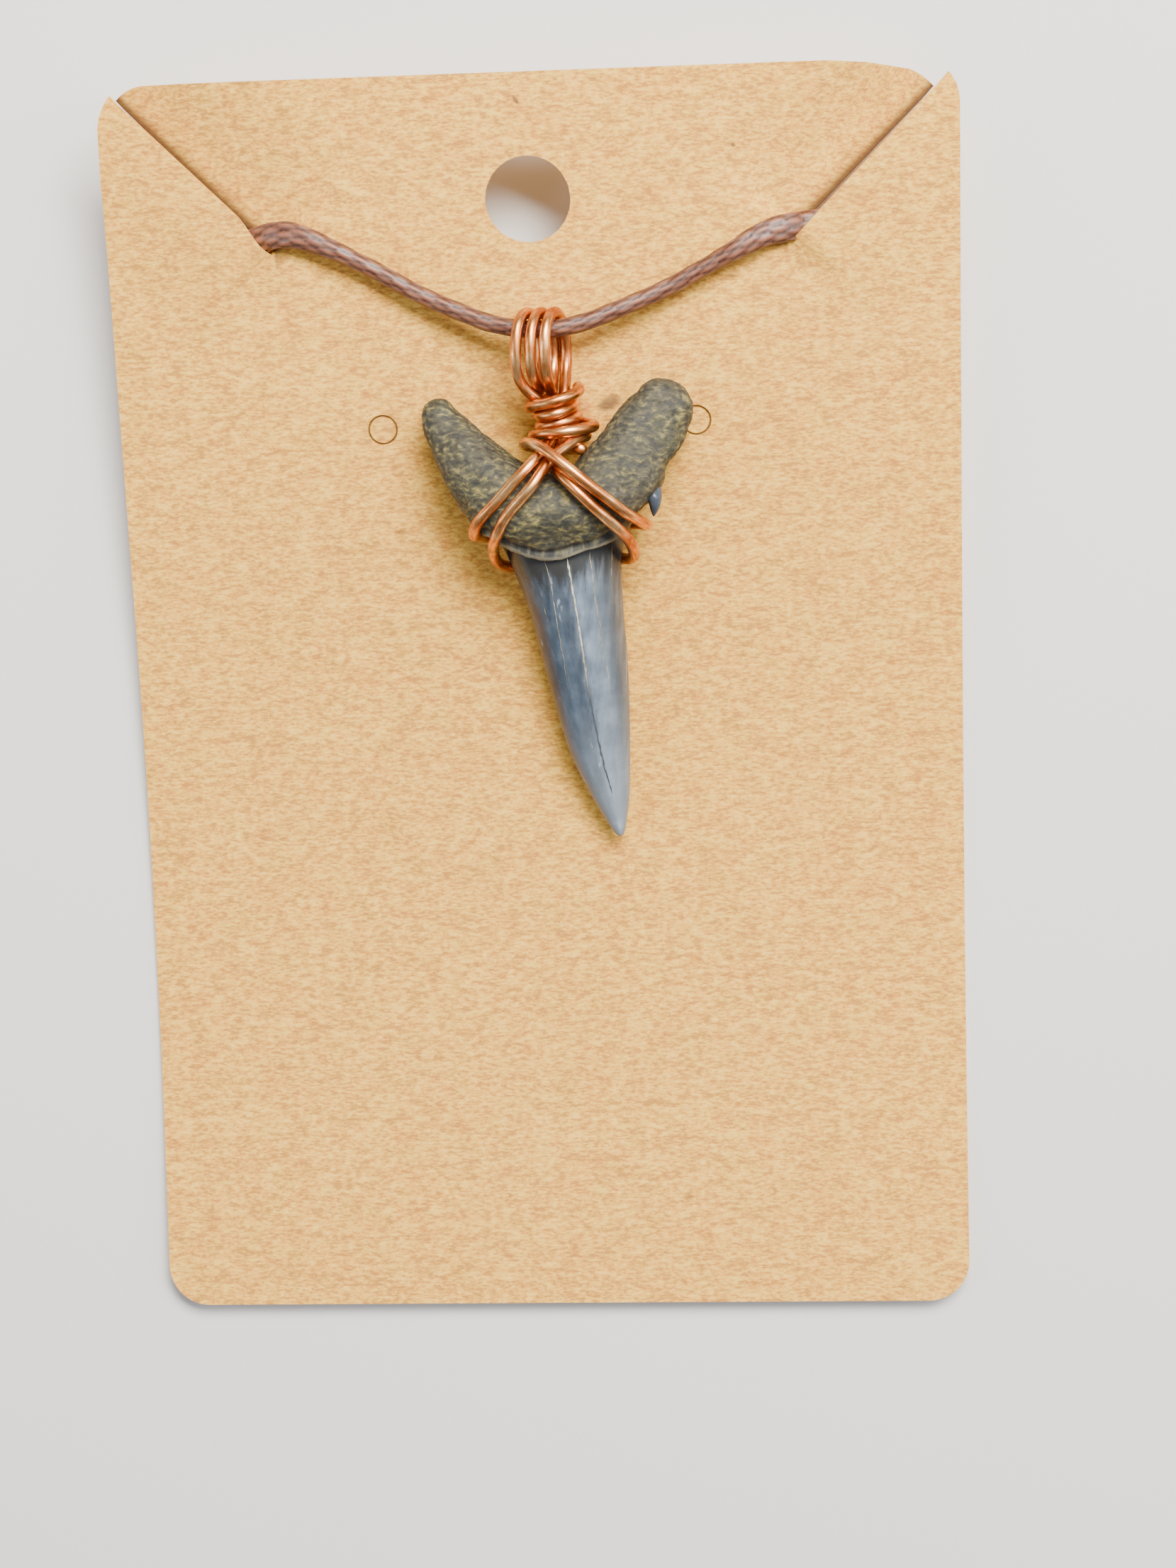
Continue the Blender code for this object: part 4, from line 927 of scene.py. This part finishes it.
# Cracks in the crown
# Fine growth cracks down the enamel, filled by a pale mineral. Each is a thin ribbon on the surface.
# A row holds a crack's line on the tooth, its width, and how much of it is still filled.
CRACKS = [
    ([(2.24, -3.2), (2.55, -5.57), (2.98, -9.4), (3.26, -12.43), (3.63, -15.28), (3.94, -17.34),
      (4.3, -19.32), (4.69, -20.9)], 0.11, 1.0),
    ([(0.64, -3.4), (0.98, -4.82), (1.16, -6.46), (1.44, -9.06), (1.7, -11.2), (1.88, -13.68)], 0.055, 0.35),
    ([(0.12, -5.21), (0.44, -6.91), (0.72, -8.42)], 0.045, 0.1),
    ([(3.81, -2.81), (3.9, -4.13), (4.03, -6.07), (4.33, -8.34), (4.4, -10.32), (4.63, -12.2)], 0.055, 0.3),
    ([(5.32, -2.7), (5.17, -4.92)], 0.05, 0.4),
]
CRACK_WANDERS, CRACK_UNEVEN = 0.05, 0.8
CRACK_FADES_OVER = 6.0
CRACK_STANDS = 0.012
CRACK_STEP = 0.12
ABOVE_TOOTH = 12.0


def crack_ribbon(line, width):
    """The two rims of a thin strip on the crown's surface, uneven in width and finer at its ends."""
    line = evenly(through(line, 6), CRACK_STEP)
    rims = []
    heading = headings(line)
    for k, (x, y) in enumerate(line):
        wander = CRACK_WANDERS * noise.noise(Vector((x * 2.0, y * 2.0, 3.0)))
        uneven = 1.0 + CRACK_UNEVEN * noise.noise(Vector((x * 3.0, y * 3.0, 9.0)))
        fade = float(smoothstep(min(k, len(line) - 1 - k) / CRACK_FADES_OVER))
        half = width * 0.5 * uneven * (0.25 + 0.75 * fade)
        for side in (-half, half):
            at = Vector((x + wander - heading[k][1] * side, y + heading[k][0] * side, ABOVE_TOOTH))
            hit, normal, _, _ = over_tooth.ray_cast(at, Vector((0.0, 0.0, -1.0)))
            rims.append(TOOTH_PLACE @ (hit + normal * CRACK_STANDS))
    return rims


def crack_mineral():
    """The pale mineral in the cracks: cream near the root, darker towards the tip."""
    # Specks are 0.6 mm
    made, add, shader = new_material("Crack mineral")
    place = add("TexCoord", out="Object")
    speck = add("TexNoise", Vector=place, Scale=1800.0, Detail=2.0)
    y = add("SeparateXYZ", out="Y", Vector=place)
    tip = add("MapRange", _0=y, _1=0.005, _2=0.001, _3=0.0, _4=1.0)
    pale = add("ValToRGB", stops=[(0.35, "#8c8470"), (0.6, "#c6bc9c")], Fac=speck)
    bare = add("ValToRGB", stops=[(0.4, "#4d4a46"), (0.6, "#8a7c66")], Fac=speck)
    filled = add("Attribute", {"attribute_name": "filled"}, "Fac")
    colour = add("Mix", MIXED, 2, _0=filled, _6=bare, _7=pale)
    colour = add("Mix", MIXED, 2, _0=tip, _6=colour, _7="#3d4046")
    set_inputs(shader, Base_Color=colour, Roughness=0.6)
    return made


crack_points, crack_faces, crack_filled = [], [], []
for crack_line, crack_width, filled in CRACKS:
    rims = crack_ribbon(crack_line, crack_width)
    first = len(crack_points)
    crack_points += rims
    crack_faces += [[k, k + 1, k + 3, k + 2] for k in range(first, first + len(rims) - 2, 2)]
    crack_filled += [filled] * len(rims)
cracks = add_mesh("crack_fill", crack_points, crack_faces, smooth=False)
store(cracks, "filled", crack_filled)
cracks.data.materials.append(crack_mineral())
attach(cracks, "root")

# Wire
# One length of bare 0.8 mm copper, drawn and then wound by hand: over and behind the root, round
# the neck, and three times over the cord as a bail. Its cut end shows at the right of the neck.
WIRE_RADIUS = 0.4
WIRE_BESIDE = 0.88
WIRE_OVER_TOOTH = 0.42
WIRE_OVER_CARD = 0.62
WIRE_FINE_STEP = 0.36
WIRE_RETURNS, WIRE_EASES, WIRE_PUSHES = 0.03, 0.06, 0.5
WIRE_SETTLES_IN = 140
WIRE_SPRINGS_STRAIGHT = 3
# The wire's line is in the tooth's own frame, as x, y, z
TAIL_TO_LEFT_SIDE = [
    (3.45, 4.4, 4.9), (3.35, 4.15, 3.8), (2.8, 4.0, 2.4), (1.9, 4.0, 1.5), (0.8, 4.1, 1.4), (-0.1, 4.3, 2.2),
    (-0.55, 4.6, 3.4), (-0.45, 4.85, 4.9), (0.0, 4.95, 6.1), (0.75, 4.75, 7.0),
]
RIGHT_UPPER_STRAP = [
    (1.7, 4.2, 7.75), (3.17, 3.05, 8.2), (4.4, 2.0, 8.2), (5.6, 0.95, 7.75), (6.7, -0.1, 6.9),
    (7.5, -0.8, 5.5), (7.8, -1.25, 4.1), (7.75, -1.5, 2.6), (7.2, -1.6, 1.1), (5.9, -1.6, 0.5),
]
BEHIND_UPPER = [
    (3.5, -1.6, 0.42), (0.8, -1.75, 0.42), (-1.8, -2.0, 0.5), (-3.3, -2.2, 1.1), (-4.0, -2.15, 2.3),
    (-4.05, -1.8, 3.6),
]
LEFT_OUTER_STRAP = [
    (-3.85, -1.15, 5.0), (-3.3, -0.2, 6.1), (-2.4, 0.93, 7.1), (-1.3, 2.24, 7.6), (-0.13, 3.37, 7.4),
    (0.65, 4.1, 6.6), (1.2, 4.7, 5.4), (1.3, 5.15, 4.0), (1.2, 5.9, 2.8), (0.95, 6.6, 2.6),
    (0.75, 7.25, 3.0), (0.3, 7.95, 3.7),
]
RIGHT_LOWER_STRAP = [
    (2.35, 7.5, 2.5), (2.35, 6.6, 2.7), (2.3, 5.5, 2.9), (2.0, 4.6, 3.8), (1.6, 3.85, 5.0), (1.5, 3.25, 6.2),
    (2.1, 2.85, 7.2), (3.2, 1.85, 7.95), (4.6, 0.45, 8.0), (5.75, -0.75, 7.4), (6.5, -1.75, 6.3),
    (6.85, -2.65, 5.1), (6.85, -3.45, 3.8), (6.5, -3.95, 2.3), (5.6, -4.05, 0.9),
]
BEHIND_LOWER = [
    (4.0, -4.15, 0.4), (1.5, -4.3, 0.4), (-0.8, -4.5, 0.5), (-2.2, -4.5, 1.2), (-2.9, -4.0, 2.5),
    (-3.1, -3.2, 3.8),
]
LEFT_INNER_STRAP = [
    (-2.85, -2.2, 5.2), (-2.35, -1.05, 6.4), (-1.7, 0.05, 7.3), (-0.76, 1.2, 7.9), (0.3, 2.3, 7.85),
    (1.0, 3.4, 7.0), (1.75, 4.15, 6.2), (2.6, 4.65, 5.5), (3.5, 5.0, 4.5), (3.9, 5.1, 3.3), (3.3, 5.05, 2.0),
]
# A turn is x of its middle, half its width, z of its front, and y behind, left, in front and right
NECK_TURNS = [
    (2.15, 2.15, 5.6, 4.95, 5.25, 5.5, 5.6),
    (1.75, 1.45, 4.6, 5.8, 5.85, 6.05, 6.35),
    (1.65, 1.3, 5.1, 6.6, 6.35, 6.75, 7.15),
    (1.65, 1.75, 5.2, 7.45, 7.05, 7.6, 8.2),
]
NECK_BACK_Z = 1.1
# A loop is its x in front and behind
BAIL_LOOPS = [(-0.9, 0.55), (0.1, 1.45), (1.1, 2.35)]
BAIL_TOP, BAIL_BOTTOM = 13.7, 7.95
BAIL_FRONT, BAIL_BACK = 4.7, 0.9
BAIL_SQUARENESS = 0.8
BAIL_GATHERS_BELOW = 9.8
BAIL_GATHERED_X, BAIL_GATHERED_Z = 1.35, 2.9
BAIL_GATHERS_X_BY, BAIL_GATHERS_Z_BY = 0.22, 0.45
BAIL_STEPS = 16


def neck_points():
    """Four turns upward: in front from left to right, then back behind to the left."""
    out = []
    for x, half, front, y_back, y_left, y_front, y_right in NECK_TURNS:
        deep = (front + NECK_BACK_Z) / 2
        reach = (front - NECK_BACK_Z) / 2
        out.append((x, y_back, NECK_BACK_Z))
        out.append((x - half * 0.75, (y_back + y_left) / 2, deep - reach * 0.7))
        out.append((x - half, y_left, deep))
        out.append((x - half * 0.7, y_left * 0.65 + y_front * 0.35, deep + reach * 0.72))
        out.append((x, y_front, front))
        out.append((x + half * 0.7, y_front * 0.35 + y_right * 0.65, deep + reach * 0.72))
        out.append((x + half, y_right, deep))
        out.append((x + half * 0.85, y_right + 0.12, deep - reach * 0.6))
    return out


def bail_points():
    """Three tall loops over the cord, gathered where they go into the neck."""
    out = []
    middle_y, half_y = (BAIL_TOP + BAIL_BOTTOM) / 2, (BAIL_TOP - BAIL_BOTTOM) / 2
    middle_z, half_z = (BAIL_FRONT + BAIL_BACK) / 2, (BAIL_FRONT - BAIL_BACK) / 2
    for loop, (front_x, back_x) in enumerate(BAIL_LOOPS):
        next_x = BAIL_LOOPS[min(loop + 1, 2)][0]
        for k in range(BAIL_STEPS):
            turn = k / BAIL_STEPS
            if (loop == 0 and turn < 0.1) or (loop == 2 and turn > 0.9):
                continue
            angle = 2 * math.pi * turn
            y = middle_y - half_y * squared(math.cos(angle), BAIL_SQUARENESS)
            z = middle_z + half_z * squared(math.sin(angle), BAIL_SQUARENESS)
            if turn < 0.25:
                last_x = BAIL_LOOPS[loop - 1][1] if loop else front_x
                x = front_x + (last_x - front_x) * (0.25 - turn) * 2
            elif turn < 0.75:
                x = front_x + (back_x - front_x) * smoothstep((turn - 0.25) * 2)
            else:
                x = back_x + (next_x - back_x) * (turn - 0.75) * 2 * (loop < 2)
            gather = smoothstep((BAIL_GATHERS_BELOW - y) / (BAIL_GATHERS_BELOW - BAIL_BOTTOM))
            x += (BAIL_GATHERED_X - x) * BAIL_GATHERS_X_BY * gather
            z += (BAIL_GATHERED_Z - z) * BAIL_GATHERS_Z_BY * gather
            out.append((x, y, z))
    return out


def settled(line, clear_of):
    """The wire's line, eased until its turns lie beside each other and on the tooth, not in them."""
    start, line = line.copy(), line.copy()
    count = len(line)
    apart = np.abs(np.subtract.outer(np.arange(count), np.arange(count))) > 1.6 * WIRE_BESIDE / WIRE_FINE_STEP
    for _ in range(WIRE_SETTLES_IN):
        moved = WIRE_RETURNS * (start - line)
        moved[1:-1] += WIRE_EASES * ((line[2:] + line[:-2]) / 2 - line[1:-1])
        between = line[:, None] - line[None]
        away = np.linalg.norm(between, axis=2)
        near = apart & (away < WIRE_BESIDE)
        push = np.where(near, (WIRE_BESIDE - away) / np.maximum(away, 1e-6), 0.0)
        pushed = (between * push[..., None]).sum(axis=1)
        moved += WIRE_PUSHES * pushed / np.maximum(near.sum(axis=1), 1)[:, None]
        line += moved
        for k, p in enumerate(line):
            nearest, normal, _, _ = clear_of.find_nearest(Vector(p))
            height = (Vector(p) - nearest).dot(normal)
            reach = (Vector(p) - nearest).length
            if height < 0.0 or reach < WIRE_OVER_TOOTH:
                line[k] = nearest + normal * WIRE_OVER_TOOTH
            line[k, 2] = max(line[k, 2], WIRE_OVER_CARD)
    for _ in range(WIRE_SPRINGS_STRAIGHT):
        line[1:-1] += ((line[2:] + line[:-2]) / 2 - line[1:-1]) / 2
    return line


wire_route = (
    TAIL_TO_LEFT_SIDE + RIGHT_UPPER_STRAP + BEHIND_UPPER + LEFT_OUTER_STRAP + bail_points()
    + RIGHT_LOWER_STRAP + BEHIND_LOWER + LEFT_INNER_STRAP + neck_points()
)
WIRE_SIDES, WIRE_RING_STEP = 24, 0.14
WIRE_END_SHARE, WIRE_END_ROUNDS_OVER = 0.35, 0.12


def carried_frames(line):
    """Side and upward directions carried along the line without a twist."""
    heading = headings(line)
    side = np.zeros_like(line)
    side[0] = np.cross(heading[0], (0.0, 0.0, 1.0))
    for k in range(len(line)):
        carried = side[max(k - 1, 0)]
        carried = carried - heading[k] * carried.dot(heading[k])
        side[k] = carried / np.linalg.norm(carried)
    return side, np.cross(side, heading)


def round_wire(name, line):
    """A round bar along the line, with its cut ends a little rounded."""
    side, up = carried_frames(line)
    along = lengths_along(line)
    from_end = np.minimum(along, along[-1] - along)
    radius = WIRE_RADIUS * np.sqrt(np.clip(WIRE_END_SHARE + from_end / WIRE_END_ROUNDS_OVER, 0.0, 1.0))
    angle = np.linspace(0.0, 2 * math.pi, WIRE_SIDES, endpoint=False)[None]
    points = line[:, None] + radius[:, None, None] * (
        side[:, None] * np.cos(angle)[..., None] + up[:, None] * np.sin(angle)[..., None]
    )
    made = add_mesh(name, on_tooth(points.reshape(-1, 3)), tube_faces(len(line), WIRE_SIDES))
    store(made, "along", np.repeat(along, WIRE_SIDES))
    store(made, "round", np.tile(np.cos(angle[0]), len(line)))
    return made


def bare_copper():
    """Soft bare copper: an orange mirror blurred by fine drawing lines, browner where it has tarnished."""
    # Drawing lines are 0.1 mm apart, coarser than real ones so that they show, and tarnish is 2.4 mm across
    made, add, shader = new_material("Bare copper")
    place = add("TexCoord", out="Object")
    along = add("Attribute", {"attribute_name": "along"}, "Fac")
    around = add("Attribute", {"attribute_name": "round"}, "Fac")
    slow = add("Math", {"operation": "MULTIPLY"}, _0=along, _1=0.25)
    on_wire = add("CombineXYZ", X=slow, Y=around)
    drawn = add("TexNoise", Vector=on_wire, Scale=4.0, Detail=4.0, Roughness=0.65)
    tarnish = add("TexNoise", Vector=place, Scale=420.0, Detail=3.0)
    patchy = add("Math", {"operation": "ADD"}, _0=drawn, _1=tarnish)
    patchy = add("MapRange", _0=patchy, _1=0.65, _2=1.35)
    colour = add("ValToRGB", stops=[(0.2, "#a45a2b"), (0.5, "#d78c4e"), (0.8, "#fdc988")], Fac=patchy)
    rough = add("MapRange", _0=patchy, _3=0.38, _4=0.28)
    bump = add("Bump", Strength=0.2, Distance=0.00003, Height=drawn)
    set_inputs(shader, Base_Color=colour, Roughness=rough, Metallic=1.0, Normal=bump)
    return made


fine_line = settled(evenly(through(wire_route, 8), WIRE_FINE_STEP), over_tooth)
wire = round_wire("copper_wire_wound", evenly(through(fine_line, 4), WIRE_RING_STEP))
wire.data.materials.append(bare_copper())
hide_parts("copper_wire")
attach(wire, "root")

# Floor and light
# A plain pale table under a large overhead window, with a dimmer one at each side.
HALF_FLOOR = 2000.0
FLOOR_BELOW = 0.02
floor_corners = [(x * HALF_FLOOR, y * HALF_FLOOR, 0.0) for x, y in ((-1, -1), (1, -1), (1, 1), (-1, 1))]
floor = add_mesh("floor", floor_corners, [(0, 1, 2, 3)], smooth=False)
floor.location.z = -FLOOR_BELOW * MM
paper, _, paper_shader = new_material("Pale table")
set_inputs(paper_shader, Base_Color="#dcdad6", Roughness=0.9)
floor.data.materials.append(paper)


def add_light(name, place, aim, size, energy, colour):
    """A rectangle of light, turned to the point that it is aimed at."""
    lamp = bpy.data.lights.new(name, "AREA")
    lamp.shape = "RECTANGLE"
    lamp.size, lamp.size_y = size
    lamp.energy = energy
    lamp.color = linear(colour)[:3]
    made = add_object(name, lamp)
    made.location = place
    made.rotation_euler = (Vector(aim) - Vector(place)).to_track_quat("-Z", "Y").to_euler()


TARGET = (0.0, 0.01, 0.0)
add_light("window_above", (0.12, 0.25, 0.36), TARGET, (0.28, 0.18), 6.6, "#fffaf2")
add_light("window_right", (0.5, 0.10, 0.36), TARGET, (0.16, 0.5), 1.8, "#f0f4ff")
add_light("window_left", (-0.5, 0.02, 0.34), TARGET, (0.14, 0.5), 1.5, "#f0f4ff")
world = bpy.data.worlds.new("studio")
world.use_nodes = True
set_inputs(world.node_tree.nodes["Background"], Color="#e4eaf4", Strength=0.42)
bpy.context.scene.world = world
